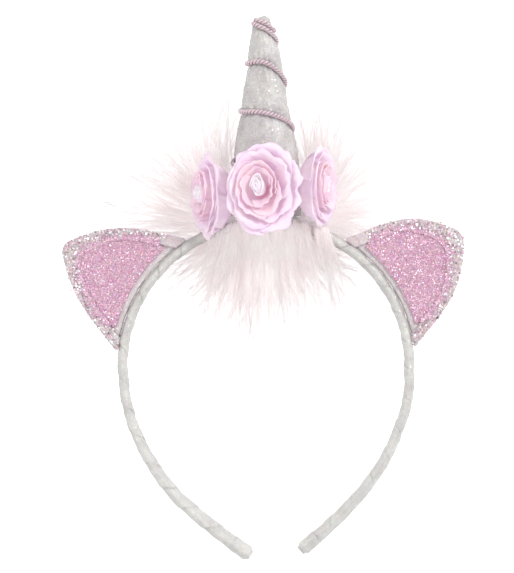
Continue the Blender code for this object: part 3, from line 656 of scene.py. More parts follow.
def make_tip_wrap(side, marks, line, run, ribbon):
    """The cap sewn over one tip: round at its nose, with a darker line of painted shade along its
    hem.
    """
    nose = np.clip(run / CAP_NOSE, 0, 1)
    round_off = np.sqrt(np.clip(1 - (1 - nose) ** 2, 0.0004, 1))
    hem = np.clip((CAP_LENGTH - run) / CAP_HEM, 0, 1)
    proud = (CAP_PROUD * hem * nose)[:, None] * np.ones(BAND_SIDES)
    body = strip(marks, line, proud, round_off)
    proud = proud + RIBBON_CRUMPLE * nose[:, None] * ripple(body, 2.4 * MM, 7)
    body = strip(marks, line, proud, round_off)
    # Painted shade: a darker line along the hem.
    hem_shade = 1 - 0.45 * np.exp(-((CAP_LENGTH - run) / (0.45 * MM)) ** 2)
    build(f"tip_wrap_{side}", body.reshape(-1, 3), grid_faces(len(marks), BAND_SIDES, True),
          ribbon, [f"band_tip_{side}"], grey(np.repeat(hem_shade, BAND_SIDES)))


def make_band(ribbon, flake):
    marks, line = band_line()
    make_ribbon(marks, line, ribbon, flake)
    for side, run in (("left", marks), ("right", marks[-1] - marks)):
        near = run <= CAP_LENGTH
        make_tip_wrap(side, marks[near], line[near], run[near], ribbon)


# Horn: a stuffed cone of glitter cloth that the cord pulls in
def horn_radius(height):
    return HORN_BASE_RADIUS * smooth(HORN_SECTIONS, height, 1)


def horn_middle(height):
    lean = -HORN_LEAN * smooth(HORN_SECTIONS, height, 2)
    return np.stack([lean, HORN_FOOT + HORN_HEIGHT * height, 0 * lean], axis=-1)


def around_horn(turn):
    angle = math.pi - math.tau * turn
    return np.stack([np.cos(angle), 0 * angle, np.sin(angle)], axis=-1)


def cord_distance(turn, height):
    """How far along the horn the nearest turn of the cord is, below it or above it."""
    nearest = np.full(np.broadcast(turn, height).shape, 1.0)
    for lap in range(4):
        reached = turn + lap <= CORD_ROUTE[-1][0]
        along = (smooth(CORD_ROUTE, turn + lap) - height) * HORN_HEIGHT
        nearest = np.where(reached & (np.abs(along) < np.abs(nearest)), along, nearest)
    return nearest


def make_horn(cloth, flake):
    v = np.linspace(0, 1, HORN_ROWS)[:, None]
    u = (np.arange(HORN_SIDES) / HORN_SIDES)[None]
    away = cord_distance(u, v)
    radius = horn_radius(v) - CORD_GROOVE * np.exp(-(away / CORD_GROOVE_REACH) ** 2)
    middle, out = horn_middle(v), around_horn(u)
    skin = middle + out * radius[..., None]
    puckers = np.exp(-np.abs(away) / (5 * MM)) * np.sin(
        math.tau * (PUCKERS_ROUND * u + PUCKERS_UP * v + 0.5 * ripple(skin, 25 * MM, 11)))
    slack = np.clip(radius / (6 * MM), 0, 1)
    relief = PUCKER_DEPTH * puckers * slack
    relief = relief + FOLD_DEPTH * ripple(skin * [1, 0.5, 1], 9 * MM, 12) * slack
    relief = relief + CRUMPLE_DEPTH * ripple(skin, 2.6 * MM, 13) * slack
    ends = np.clip((1 - v) / 0.012, 0.05, 1) * np.clip(v / 0.006, 0.02, 1)
    skin = middle + out * ((radius + relief) * np.sqrt(ends))[..., None]
    peak = np.clip((v - 0.965) / 0.035, 0, 1)
    skin = skin + peak[..., None] * HORN_PEAK
    horn = build("horn_cover", skin.reshape(-1, 3), grid_faces(HORN_ROWS, HORN_SIDES, True),
                 cloth, ["horn"])
    sprinkle("horn_glitter", horn, HORN_GLITTER, 52, ON_HORN, flake)


def circle(first, second, angle):
    """Points on the unit circle of each pair of directions."""
    cosine, sine = np.cos(angle)[None, :, None], np.sin(angle)[None, :, None]
    return first[:, None] * cosine + second[:, None] * sine


def tube(line, lift, radius, sides, step_uv):
    """A round tube along a line; lift gives a direction across it at each point."""
    way = unit(np.gradient(line, axis=0))
    side = unit(lift - way * (lift * way).sum(axis=1, keepdims=True))
    third = np.cross(way, side)
    spots = line[:, None] + circle(side, third, around(sides)) * radius[:, None, None]
    run = run_of(line) / step_uv
    uv = np.stack(np.broadcast_arrays(np.arange(sides)[None] / sides * 2, run[:, None]), axis=-1)
    return spots.reshape(-1, 3), uv.reshape(-1, 2)


def make_cord(thread):
    route = CORD_TOP + CORD_ROUTE
    turns = np.linspace(route[0][0], route[-1][0], CORD_POINTS)
    height = smooth(route, turns)
    out = around_horn(turns)
    line = horn_middle(height) + out * (horn_radius(height) + PLY_SINK)[:, None]
    run = run_of(line)
    marks = np.linspace(0, run[-1], round(run[-1] / PLY_STEP))
    line = read_at(marks, run, line)
    out = unit(read_at(marks, run, out))
    way = unit(np.gradient(line, axis=0))
    side = np.cross(way, out)
    spots, uvs, faces = [], [], []
    # Painted shade: each ply darker on its side towards the other ply.
    outward = np.tile(0.5 + 0.5 * np.cos(around(PLY_SIDES)), 2 * len(marks))
    for ply in range(2):
        angle = math.pi * ply - math.tau * marks / PLY_PITCH
        arm = out * np.cos(angle)[:, None] + side * np.sin(angle)[:, None]
        ends = np.sqrt(np.clip(np.minimum(marks, marks[-1] - marks) / PLY_RADIUS, 0.02, 1))
        ply_line = line + arm * PLY_ORBIT
        ring, uv = tube(ply_line, arm, PLY_RADIUS * ends, PLY_SIDES, PLY_RADIUS)
        spots.append(ring)
        uvs.append(uv)
        faces.append(grid_faces(len(marks), PLY_SIDES, True) + ply * len(ring))
    build("horn_cord_plies", np.concatenate(spots), np.concatenate(faces), thread,
          ["horn_cord"], grey(outward), np.concatenate(uvs))


# Ears: padded felt plates with a glitter panel and a border of coarse glitter
def remeshed(node, size):
    """A copy of a node's solid with small even faces: its points, in the ring's frame, and mesh."""
    item = placed("source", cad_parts[node].data.copy())
    step = item.modifiers.new("even faces", "REMESH")
    step.mode = "VOXEL"
    step.voxel_size = size
    evaluated = item.evaluated_get(bpy.context.evaluated_depsgraph_get())
    mesh = bpy.data.meshes.new_from_object(evaluated)
    bpy.data.objects.remove(item, do_unlink=True)
    return mesh, to_ring(points_of(mesh))


def outward_of(mesh):
    """Each vertex's normal, in the ring's frame."""
    return rows_of(mesh.vertices, "normal").astype(float) @ TURN


def swollen(mesh, spots, amount, away_from=None):
    """Points moved outwards in the ear's plane, or only those that face away from a middle."""
    outward = outward_of(mesh)
    share = np.ones(len(spots))
    if away_from is not None:
        share = (outward * unit(spots - away_from)).sum(axis=1) > 0
    return spots + outward * [amount, amount, 0] * share[:, None]


def past_the_edge(mesh, spots, count, chance):
    """Places that glitter strays to from the panel's edge, except along the band."""
    outward = outward_of(mesh)
    run = np.hypot(spots[:, 0], spots[:, 1])
    edge = (np.abs(outward[:, 2]) < 0.6) & (run > run.min() + PANEL_SPREAD_REACH / 2)
    chosen = chance.choice(np.flatnonzero(edge), count)
    away = unit(outward[chosen] * [1, 1, 0])
    reach = chance.exponential(STRAY_GLITTER_REACH, (count, 1)) - 0.4 * MM
    return spots[chosen] + away * reach + chance.normal(size=(count, 3)) * 0.3 * MM


def spread_to_band(spots):
    """The panel's cloth drawn out towards the band, along its edge there."""
    run = np.hypot(spots[:, 0], spots[:, 1])
    near = np.clip(1 - (run - run.min()) / PANEL_SPREAD_REACH, 0, 1)
    spots = spots.copy()
    spots[:, :2] -= unit(spots[:, :2]) * (near * PANEL_SPREAD)[:, None]
    return spots


def reshape(mesh, spots):
    mesh.vertices.foreach_set("co", to_world(spots).ravel())
    mesh.update()


def edge_distance(spots, rim):
    """How far each point is from the nearest rim point, seen from the front."""
    best = np.full(len(spots), 1.0)
    for start in range(0, len(spots), 2000):
        part = spots[start:start + 2000, None, :2] - rim[None, :, :2]
        best[start:start + 2000] = np.sqrt((part ** 2).sum(axis=2).min(axis=1))
    return best


MARGIN_FLAKES = 5000
PANEL_FLAKES = 17000
STRAYED_FLAKES = 5200
# Columns: name, kind, count, least turn to the front, whether they lie beside their place
SEQUINS = (
    ("small", SMALL_SEQUIN, 900, 0.05, False),
    ("spilt", SPILT_SEQUIN, 90, 0.80, True),
    ("large", LARGE_SEQUIN, 260, 0.20, False),
)


def off_the_bare_end(places, normals):
    """Leave the border bare where it runs into the band above each ear."""
    near = np.hypot(places[:, 0], places[:, 1]) < BAND_OUTER + BARE_RUN
    bare = near & (places[:, 1] > BARE_FROM)
    return places[~bare], normals[~bare]


def make_pad(side, number, chance, felt, fine):
    """The felt plate: plump behind, nearly flat in front, with a little loose glitter."""
    pad, spots = remeshed(f"ear_{side}", 0.65 * MM)
    rim = spots[np.abs(spots[:, 2]) < 0.4 * MM]
    inward = 1 - np.exp(-edge_distance(spots, rim) / (4 * MM))
    spots[:, 2] += np.where(spots[:, 2] < 0, -0.9 * MM * inward, 0.12 * MM * inward)
    spots[:, 2] += 0.12 * MM * ripple(spots, 7 * MM, 21 + number) * inward
    reshape(pad, spots)
    finish_mesh(f"ear_pad_{side}", pad, felt, [f"ear_{side}"], True)
    places, normals = scatter(spots, triangles(pad), MARGIN_FLAKES, chance, 0.6)
    flakes(f"ear_margin_glitter_{side}", places, normals, chance, LOOSE, PALE_GLITTER, fine)


def make_panel(side, number, chance, cloth, fine):
    """The pink cloth and its fine glitter; the border needs its mesh and points."""
    panel, spots = remeshed(f"ear_{side}_panel", 0.5 * MM)
    spots = spread_to_band(swollen(panel, spots, PANEL_SWELL))
    middle = spots.mean(axis=0)
    spots[:, 2] += 0.16 * MM * ripple(spots, 9 * MM, 31 + number)
    reshape(panel, spots)
    item = finish_mesh(f"ear_cloth_{side}", panel, cloth, [f"ear_{side}_panel"],
                       True)
    places, normals = scatter(spots, triangles(panel), PANEL_FLAKES, chance, 0.5)
    flakes(f"ear_fine_glitter_{side}", places, normals, chance, FINE, FINE_GLITTER, fine)
    return panel, spots, middle


def make_border(side, number, chance, panel, panel_spots, middle, bed, fine, coarse):
    """The border, with pink glitter strayed over its inside and sequins all along it."""
    border, spots = remeshed(f"ear_{side}_border", 0.45 * MM)
    spots = swollen(border, spots, BORDER_SWELL, middle)
    spots[:, 2] += 0.22 * MM * ripple(spots, 2.6 * MM, 41 + number)
    reshape(border, spots)
    item = finish_mesh(f"ear_trim_{side}", border, bed, [f"ear_{side}_border"],
                       True)
    corners = triangles(border)
    places = past_the_edge(panel, panel_spots, STRAYED_FLAKES, chance)
    places[:, 2] = np.percentile(spots[:, 2], 96)
    normals = np.tile([0.0, 0.0, 1.0], (len(places), 1))
    flakes(f"ear_stray_glitter_{side}", places, normals, chance, STRAYED, FINE_GLITTER, fine)
    for name, kind, count, facing, strayed in SEQUINS:
        places, normals = off_the_bare_end(*scatter(spots, corners, count, chance, facing))
        if strayed:
            places[:, :2] += chance.normal(size=(len(places), 2)) * SPILT_REACH
        flakes(f"ear_{name}_sequins_{side}", places, normals, chance, kind, COARSE_GLITTER,
               coarse)


def make_ears(felt, cloth, bed, fine, coarse):
    for number, side in enumerate(EARS):
        chance = np.random.default_rng(40 + number)
        make_pad(side, number, chance, felt, fine)
        panel = make_panel(side, number, chance, cloth, fine)
        make_border(side, number, chance, *panel, bed, fine, coarse)


# Roses: rings of satin petals round a rolled bud
Rose = namedtuple("Rose", "name around rise radius stretch depth spin press")
ROSES = (
    Rose("left", -66.0, 9.0 * MM, 16.0 * MM, 1.18, 20.0 * MM, 20.0, 0.30),
    Rose("centre", -3.0, 12.0 * MM, 17.0 * MM, 1.22, 16.0 * MM, 75.0, 0.0),
    Rose("right", 64.0, 13.5 * MM, 16.0 * MM, 1.14, 19.0 * MM, 50.0, 0.30),
)
# Each ring of the frame's roses is two rings of petals here, one close inside the other
Ring = namedtuple("Ring", "piece petals reach layer rim notch curl turn")
PETAL_RINGS = (
    Ring("outer_petals", 5, 0.98, 0.00, 0.78, 0.26, 0.16, 0.0),
    Ring("outer_petals", 5, 0.80, 0.35, 0.86, 0.22, 0.12, 0.5),
    Ring("inner_petals", 4, 0.58, 1.00, 0.95, 0.20, 0.09, 0.0),
    Ring("inner_petals", 3, 0.43, 1.40, 0.98, 0.20, 0.07, 0.5),
)
PETAL_PITCH = 1.3 * MM
PETAL_CLOTH = 0.4 * MM
PETAL_TUCK = 0.075
PETAL_LAP = 0.55
PETAL_CURL_START = 0.62
# Depths of a petal's small creases, its wide bends and the frill of its lip
PETAL_CREASE = 0.26 * MM
PETAL_BEND = 0.50 * MM
PETAL_FRILL = 0.42 * MM
# Columns: along, radius, height
PETAL_PROFILE = (
    (0.00, 0.16, 0.00),
    (0.25, 0.50, 0.13),
    (0.50, 0.78, 0.42),
    (0.75, 0.92, 0.80),
    (1.00, 1.00, 1.00),
)
PETAL_ACROSS = 28
PETAL_ALONG = 24
# The heart of each rose leans up and to the left, away from its foot
HEART_LEAN = np.array([-3.2, 2.4]) * MM
BUD_REACH = 0.27
BUD_TURNS = 2.3
BUD_ROWS, BUD_COLUMNS = 16, 150
HEART_ROWS, HEART_COLUMNS = 14, 40


def rose_place(rose):
    """A rose's seat on the horn and its own axes."""
    angle = math.radians(rose.around)
    axis = np.array([math.sin(angle), 0, math.cos(angle)])
    up = np.array([0.0, 1.0, 0.0])
    height = rose.rise / HORN_HEIGHT
    seat = horn_middle(np.array(height)) + axis * (horn_radius(height) + GAP)
    return seat, np.stack([np.cross(up, axis), up, axis])


def on_rose(rose, local):
    """Points of a rose's own frame, flattened where it leans on the centre rose."""
    seat, axes = rose_place(rose)
    local = local.copy()
    pressed = local[..., 0] * rose.around < 0
    local[..., 0] = np.where(pressed, local[..., 0] * (1 - rose.press), local[..., 0])
    return seat + local @ axes


def leaning(rose, spots):
    """Lean the heart of a rose over with its height."""
    share = np.clip(spots[..., 2] / rose.depth, 0, 1.1)
    near = np.exp(-(np.hypot(spots[..., 0], spots[..., 1]) / (0.85 * rose.radius)) ** 4)
    spots = spots.copy()
    spots[..., :2] += HEART_LEAN * (share * near)[..., None]
    return spots


def petal(rose, ring, number, seed):
    """One petal: its points in the rose's frame and how far each lies out of the painted shade at
    its foot.
    """
    radius, depth = rose.radius, rose.depth
    a = np.linspace(-1, 1, PETAL_ACROSS)[None]
    v = np.linspace(0, 1, PETAL_ALONG)[:, None]
    chance = np.random.default_rng(seed)
    uneven = 1 + 0.05 * np.sin(a * chance.uniform(2, 5) + chance.uniform(0, 6))
    along = v * (1 - ring.notch * np.abs(a) ** 2.6) * uneven * chance.uniform(0.93, 1.0)
    along = np.clip(along - 0.03 * v * np.exp(-(a / 0.16) ** 2), 0, 1)
    lip = np.clip((along - PETAL_CURL_START) / (1 - PETAL_CURL_START), 0, 1)
    out = smooth(PETAL_PROFILE, along, 1) * radius * ring.reach * chance.uniform(0.94, 1.02)
    tuck = a * PETAL_TUCK * radius * ring.reach * np.sqrt(along)
    out = out + ring.curl * radius * lip ** 2 + tuck
    floor = ring.layer * PETAL_PITCH + PETAL_CLOTH
    tall = floor + smooth(PETAL_PROFILE, along, 2) * (ring.rim * depth - floor)
    tall = tall - ring.curl * depth * lip ** 3 * 0.9
    angle = math.radians(rose.spin) * ring.reach + chance.uniform(-0.10, 0.10)
    angle = angle + math.pi / ring.petals * (
        2 * (number + ring.turn) + a * (1 + PETAL_LAP * np.clip(v - 0.15, 0, 1)))
    spots = np.stack([out * np.cos(angle), out * np.sin(angle) * rose.stretch,
                      tall + 0 * angle], axis=-1)
    crease = ripple(spots * [1, 1, 0.2], 2.8 * MM, seed) * PETAL_CREASE
    bend = ripple(spots, 8 * MM, seed + 1) * PETAL_BEND
    frill = ripple(spots, 4.5 * MM, seed + 2) * PETAL_FRILL * lip
    outward = unit(spots * [1, 1, 0] + 1e-9)
    moved = (crease + bend) * np.clip(along * 1.5, 0, 1) + frill
    spots = spots + outward * moved[..., None]
    spots[..., 2] += frill * 0.7
    return leaning(rose, spots), np.clip(along * (1.0 - 0.25 * np.abs(a) ** 3), 0, 1)


def cloth_piece(name, spots, faces, surface, node, share_out_of_shade):
    """A satin piece from its middle surface, given its cloth's thickness."""
    item = build(name, spots, faces, surface, [node], grey(share_out_of_shade))
    step = item.modifiers.new("cloth", "SOLIDIFY")
    step.thickness = PETAL_CLOTH
    step.offset = 0


def bud_strip(rose):
    """The rolled strip at the heart: drawn up to a point above and below."""
    v = np.linspace(0, 1, BUD_ROWS)[:, None]
    u = np.linspace(0, 1, BUD_COLUMNS)[None]
    turn = math.radians(rose.spin) + math.tau * BUD_TURNS * u
    belly = 0.50 + 0.85 * v - 0.42 * v * v
    pointed = 1 + 0.22 * np.abs(np.sin(turn)) ** 3 * v
    out = rose.radius * BUD_REACH * (0.16 + 0.84 * u) * belly * pointed
    low = 2 * PETAL_PITCH + PETAL_CLOTH
    rim = rose.depth * (1.0 - 0.16 * u + 0.035 * np.sin(1.6 * turn + 1) * u)
    tall = low + (rim - low) * v
    local = np.stack([0.82 * out * np.cos(turn), out * np.sin(turn) * rose.stretch, tall],
                     axis=-1)
    local = local + (ripple(local, 5 * MM, 5) * 0.25 * MM)[..., None] * [1, 1, 0] * v[..., None]
    return leaning(rose, local), np.broadcast_to(np.clip(0.2 + v, 0, 1), tall.shape)


def bud_heart(rose):
    """A small plump fold that closes the middle of the roll."""
    v = np.linspace(0, 1, HEART_ROWS)[:, None]
    turn = math.tau * np.linspace(0, 1, HEART_COLUMNS)[None]
    out = rose.radius * 0.105 * np.sin(math.pi * (0.12 + 0.88 * v)) ** 0.7
    low, high = 0.35 * rose.depth, 0.93 * rose.depth
    local = np.stack([out * np.cos(turn), 1.6 * out * np.sin(turn) * rose.stretch,
                      low + (high - low) * v + 0 * turn], axis=-1)
    return leaning(rose, local), np.ones(local.shape[:2])


def join(rose, parts):
    """Grids of a rose's own frame as one: its points, faces and how far each point lies out of the
    painted shade.
    """
    spots, shares, faces, count = [], [], [], 0
    for local, share in parts:
        faces.append(grid_faces(*share.shape, False) + count)
        spots.append(on_rose(rose, local).reshape(-1, 3))
        shares.append(share.ravel())
        count += share.size
    return np.concatenate(spots), np.concatenate(faces), np.concatenate(shares)


def make_rose(rose, satins):
    seed = 7 * len(rose.name)
    for piece, surface in (("outer_petals", satins[0]), ("inner_petals", satins[1])):
        petals = [petal(rose, ring, number, seed + 100 * index + 10 * number)
                  for index, ring in enumerate(PETAL_RINGS) if ring.piece == piece
                  for number in range(ring.petals)]
        spots, faces, shares = join(rose, petals)
        cloth_piece(f"rose_{rose.name}_{piece}_satin", spots, faces, surface,
                    f"rose_{rose.name}_{piece}", shares)
    spots, faces, shares = join(rose, (bud_strip(rose), bud_heart(rose)))
    cloth_piece(f"rose_{rose.name}_bud_satin", spots, faces, satins[2],
                f"rose_{rose.name}_bud", shares)


# Marabou fluff: each lock of the frame's fluff as barbs of down along its shaft
FLUFF_MIDDLE = np.array([-2.0, 69.0, -7.0]) * MM
FLUFF_CORE = np.array([33.0, 21.0, 12.5]) * MM
FLUFF_REACH = 76.0 * MM
FLUFF_BURST = np.array([-2.0, 77.0, 0.0]) * MM
LOCK_ROOT_RADIUS = 7.4 * MM
LOCK_LENGTHS = (1.0, 0.86, 0.94)
ROOT_SPREAD = (0.55, 0.45)
# Columns: direction, reach
FLUFF_OUTLINE = (
    (0.0, 0.96),
    (26.0, 0.80),
    (45.0, 0.88),
    (66.0, 0.80),
    (90.0, 0.70),
    (105.0, 0.75),
    (140.0, 0.72),
    (154.0, 0.86),
    (180.0, 1.00),
    (193.0, 0.84),
    (216.0, 0.66),
    (233.0, 0.86),
    (261.0, 0.88),
    (290.0, 0.74),
    (318.0, 0.80),
    (334.0, 0.60),
    (347.0, 0.72),
    (360.0, 0.96),
)
Layer = namedtuple("Layer", "name locks first share root_depth tip_depth")
FLUFF_LAYERS = (
    Layer("back", 16, 4.0, 0.94, -0.30, -0.95),
    Layer("middle", 16, 12.0, 1.00, 0.00, -0.10),
)
UPWARD = 0.3
BEHIND_HORN = 16
# A wisp is a bundle of barbs that draws together towards its tip
WISPS_PER_LOCK = 24
WISP_RADIUS = 2.0 * MM
WISP_SPREAD = math.radians(12)
BARBS_PER_WISP = 22
BARB_POINTS = 6
BARB_WIDTH = 0.15 * MM
STRAY_SHARE = 0.16
# A wisp's length against its lock's, and its sway against its length
WISP_LENGTHS = (0.72, 1.40)
WISP_SWAY = (0.015, 0.045)
FRONT_WISPS = 140
# The part of the front wisps' length that varies, against the way below, and their sway in mm
FRONT_LENGTHS = (0.30, 1.35)
FRONT_SWAY = (0.5, 1.9)
FRONT_LEFT = -25.0 * MM
FRONT_RIGHT = 29.0 * MM
# Way of the front wisps: out from under the roses, over the band and down inside the ring
# Columns: rise, forward, fan
FRONT_WAY = (
    (71.0 * MM, 7.6 * MM, 1.00),
    (67.0 * MM, 9.6 * MM, 1.04),
    (59.0 * MM, 4.5 * MM, 1.12),
    (48.0 * MM, -3.0 * MM, 1.22),
    (30.0 * MM, -7.0 * MM, 1.34),
)
CORE_ROWS, CORE_COLUMNS = 40, 80
CORE_SHARE = 0.90
# Where the fluff's core would touch another piece it stays below this height
CORE_TOP = -13.0 * MM
# The ears' fronts lie past this far from the middle and below this height
EARS_FROM = 36.0 * MM
EARS_BELOW = 62.0 * MM
ROOT_TONE = np.array([0.985, 0.976, 0.974])
TIP_TONE = np.array([0.865, 0.857, 0.855])


def locks_of(layer):
    """Root and tip of each lock in a layer."""
    index = np.arange(layer.locks)
    degrees = layer.first + 360 * index / layer.locks
    kept = np.abs(degrees - 90) >= BEHIND_HORN
    index, degrees = index[kept], degrees[kept]
    heading = np.stack([np.cos(np.radians(degrees)), np.sin(np.radians(degrees)), 0 * degrees],
                       axis=1)
    reach = FLUFF_REACH * smooth(FLUFF_OUTLINE, degrees % 360) * layer.share
    reach = reach * np.array(LOCK_LENGTHS)[index % len(LOCK_LENGTHS)]
    root = FLUFF_MIDDLE + np.stack([heading[:, 0] * FLUFF_CORE[0] * ROOT_SPREAD[0],
                                    heading[:, 1] * FLUFF_CORE[1] * ROOT_SPREAD[1],
                                    layer.root_depth * FLUFF_CORE[2] + 0 * degrees], axis=1)
    beside = np.maximum(np.abs(root[:, 0]), HORN_BASE_RADIUS + 0.5 * MM + LOCK_ROOT_RADIUS)
    root[:, 0] = np.where(heading[:, 1] > UPWARD, np.copysign(beside, heading[:, 0]), root[:, 0])
    tip = FLUFF_BURST + heading * reach[:, None]
    tip[:, 2] = FLUFF_MIDDLE[2] + layer.tip_depth * FLUFF_CORE[2]
    return root, tip


def aside(s, bend, sway, laps, phase):
    """How far wisps have gone aside at shares of their length."""
    return bend[:, None] * s * s + sway[:, None] * s * (
        np.sin(phase[:, None] + math.tau * laps[:, None] * s))


def layer_wisps(layer, chance):
    """A function that gives points along each wisp of a layer, and the number of wisps."""
    root, tip = locks_of(layer)
    lock = np.repeat(np.arange(len(root)), WISPS_PER_LOCK)
    count = len(lock)
    apart = chance.normal(size=(count, 3)) * [1, 1, 0.6] * LOCK_ROOT_RADIUS * 0.42
    start = root[lock] + apart
    swing = chance.normal(size=count) * WISP_SPREAD
    run = tip[lock] - start
    run = run * chance.uniform(*WISP_LENGTHS, (count, 1))
    run = np.stack([run[:, 0] * np.cos(swing) - run[:, 1] * np.sin(swing),
                    run[:, 0] * np.sin(swing) + run[:, 1] * np.cos(swing),
                    run[:, 2] + chance.normal(size=count) * 2.5 * MM], axis=1)
    length = np.linalg.norm(run, axis=1)
    side = unit(np.cross(run, np.array([0.0, 0.0, 1.0])))
    bend = chance.normal(size=count) * 0.12 * length
    sway = chance.uniform(*WISP_SWAY, count) * length
    laps, phase = chance.uniform(0.6, 1.6, count), chance.uniform(0, math.tau, count)
    lift = 2.0 * MM + chance.normal(size=count) * 1.5 * MM
    habits = np.stack([bend, sway, laps, phase])

    def way(wisp, s):
        spots = start[wisp][:, None] + run[wisp][:, None] * s[..., None]
        spots = spots + side[wisp][:, None] * aside(s, *habits[:, wisp])[..., None]
        spots[..., 2] += lift[wisp][:, None] * 4 * s * (1 - s)
        return spots

    return way, count


def front_wisps(chance):
    """The same for the wisps that come out over the front of the band."""
    count = FRONT_WISPS
    place = np.sort(chance.uniform(FRONT_LEFT, FRONT_RIGHT, count))
    lengths = chance.uniform(*FRONT_LENGTHS, count)
    way_points = np.array(FRONT_WAY)
    bend = chance.normal(size=count) * 2.2 * MM
    sway = chance.uniform(*FRONT_SWAY, count) * MM
    laps, phase = chance.uniform(0.6, 1.5, count), chance.uniform(0, math.tau, count)
    habits = np.stack([bend, sway, laps, phase])
    droop = (place / (30 * MM)) ** 2 * 5 * MM

    def way(wisp, s):
        at = s * (0.35 + 0.65 * lengths[wisp][:, None]) * (len(FRONT_WAY) - 1)
        at = np.minimum(at, len(FRONT_WAY) + 0.2)
        parts = np.arange(len(FRONT_WAY))
        rise, forward, fan = (np.interp(at, parts, way_points[:, k]) for k in range(3))
        beyond = np.clip(at - parts[-1], 0, 1)
        return np.stack([place[wisp][:, None] * fan + aside(s, *habits[:, wisp]),
                         rise - beyond * 15 * MM - droop[wisp][:, None],
                         forward - beyond * 3 * MM + 0 * s], axis=-1)

    return way, count


def barbs(way, count, per_wisp, radius, chance):
    """Barbs bundled along wisps; some stray out of their bundle."""
    wisp = np.repeat(np.arange(count), per_wisp)
    number = len(wisp)
    first = chance.random(number) ** 1.3 * 0.6
    last = np.minimum(first + chance.uniform(0.35, 1.0, number), 1.0)
    t = np.linspace(0, 1, BARB_POINTS)[None]
    s = first[:, None] + (last - first)[:, None] * t
    line = way(wisp, s)
    offset = unit(chance.normal(size=(number, 3))) * radius * chance.random(number)[:, None] ** 0.6
    stray = chance.random(number) < STRAY_SHARE
    close = 0.10 + 0.90 * (1 - s) ** 1.2
    wide = np.where(stray[:, None], close + 1.5 * t ** 1.5, close)
    curl = unit(chance.normal(size=(number, 3))) * 0.35 * MM
    laps, phase = chance.uniform(0.6, 1.6, (number, 1)), chance.random((number, 1))
    wave = np.sin(math.tau * (t * laps + phase))
    line = line + offset[:, None] * wide[..., None] + curl[:, None] * wave[..., None]
    return line, s, wisp


def clear_of_pieces(line):
    """Which barbs keep out of the horn, the roses, the band and the front of the ears."""
    x, y, z = line[..., 0], line[..., 1], line[..., 2]
    height = (y - HORN_FOOT) / HORN_HEIGHT
    within = np.clip(height, 0, 1)
    middle = horn_middle(within)[..., 0]
    near = np.hypot(x - middle, z) < horn_radius(within) + 0.6 * MM
    hit = (height > 0) & (height < 1) & near
    for rose in ROSES:
        seat, axes = rose_place(rose)
        local = (line - seat) @ axes.T
        wide = np.hypot(local[..., 0], local[..., 1] / rose.stretch) / rose.radius
        share = local[..., 2] / rose.depth
        cup = 0.35 + 0.75 * np.sqrt(np.clip(share, 0, 1))
        hit |= (share > -0.05) & (share < 1.1) & (wide < cup)
    ring = np.hypot(x, y)
    in_band = (np.abs(ring - BAND_RADIUS) < BAND_THICKNESS / 2 + 0.3 * MM) & (y > -5 * MM)
    hit |= in_band & (np.abs(z) < BAND_WIDTH / 2 + 0.3 * MM)
    on_ear = (ring > BAND_OUTER - 1 * MM) & (np.abs(x) > EARS_FROM) & (y < EARS_BELOW)
    hit |= on_ear & (z > -EAR_THICKNESS / 2 - 1.2 * MM)
    return ~hit.any(axis=1)


def down_piece(name, line, s, wisp, chance, surface, nodes=()):
    """Flat tapering barbs along lines, a little darker towards the tips of their wisps."""
    shades = chance.uniform(0.0, 1.0, (wisp.max() + 1, 1, 1))
    kept = clear_of_pieces(line)
    line, s, wisp = line[kept], s[kept], wisp[kept]
    count = len(line)
    way = unit(np.gradient(line, axis=1))
    side = unit(np.cross(way, chance.normal(size=(count, 1, 3))))
    t = np.linspace(0, 1, BARB_POINTS)[None, :, None]
    width = BARB_WIDTH * chance.uniform(0.55, 1.2, (count, 1, 1)) * (1 - 0.6 * t)
    spots = np.stack([line - side * width / 2, line + side * width / 2], axis=2)
    world = to_world(spots.reshape(-1, 3))
    world[:, 2] = np.maximum(world[:, 2], 0.1 * MM + 0.2 * MM * chance.random(len(world)))
    spots = to_ring(world)
    faces = grid_faces(BARB_POINTS, 2, False)
    faces = (faces[None] + 2 * BARB_POINTS * np.arange(count)[:, None, None]).reshape(-1, 4)
    tone = ROOT_TONE + (TIP_TONE - ROOT_TONE) * np.clip(s, 0, 1)[..., None]
    tone = tone * (1 - shades[wisp] * np.array([0.02, 0.045, 0.04]))
    tone = tone * chance.uniform(0.97, 1.01, (count, 1, 1))
    tint = np.repeat(np.clip(tone, 0, 0.99), 2, axis=1).reshape(-1, 3)
    build(name, spots, faces, surface, nodes, tint)


def make_core(surface):
    """The soft middle of the fluff, a slightly uneven ball."""
    polar = np.linspace(0.02, math.pi - 0.02, CORE_ROWS)[:, None]
    turn = around(CORE_COLUMNS)[None]
    face = np.stack([np.sin(polar) * np.cos(turn), np.sin(polar) * np.sin(turn),
                     np.cos(polar) + 0 * turn], axis=-1)
    spots = FLUFF_MIDDLE + face * FLUFF_CORE * CORE_SHARE
    spots = spots + face * (ripple(spots, 9 * MM, 76) * 0.7 * MM)[..., None]
    spots = spots.reshape(-1, 3)
    touching = ~clear_of_pieces(spots[:, None])
    spots[touching, 2] = np.minimum(spots[touching, 2], CORE_TOP)
    world = to_world(spots)
    world[:, 2] = np.maximum(world[:, 2], 0.3 * MM)
    tint = np.broadcast_to(ROOT_TONE, spots.shape)
    build("down_heart", to_ring(world), grid_faces(CORE_ROWS, CORE_COLUMNS, True), surface,
          (), tint)


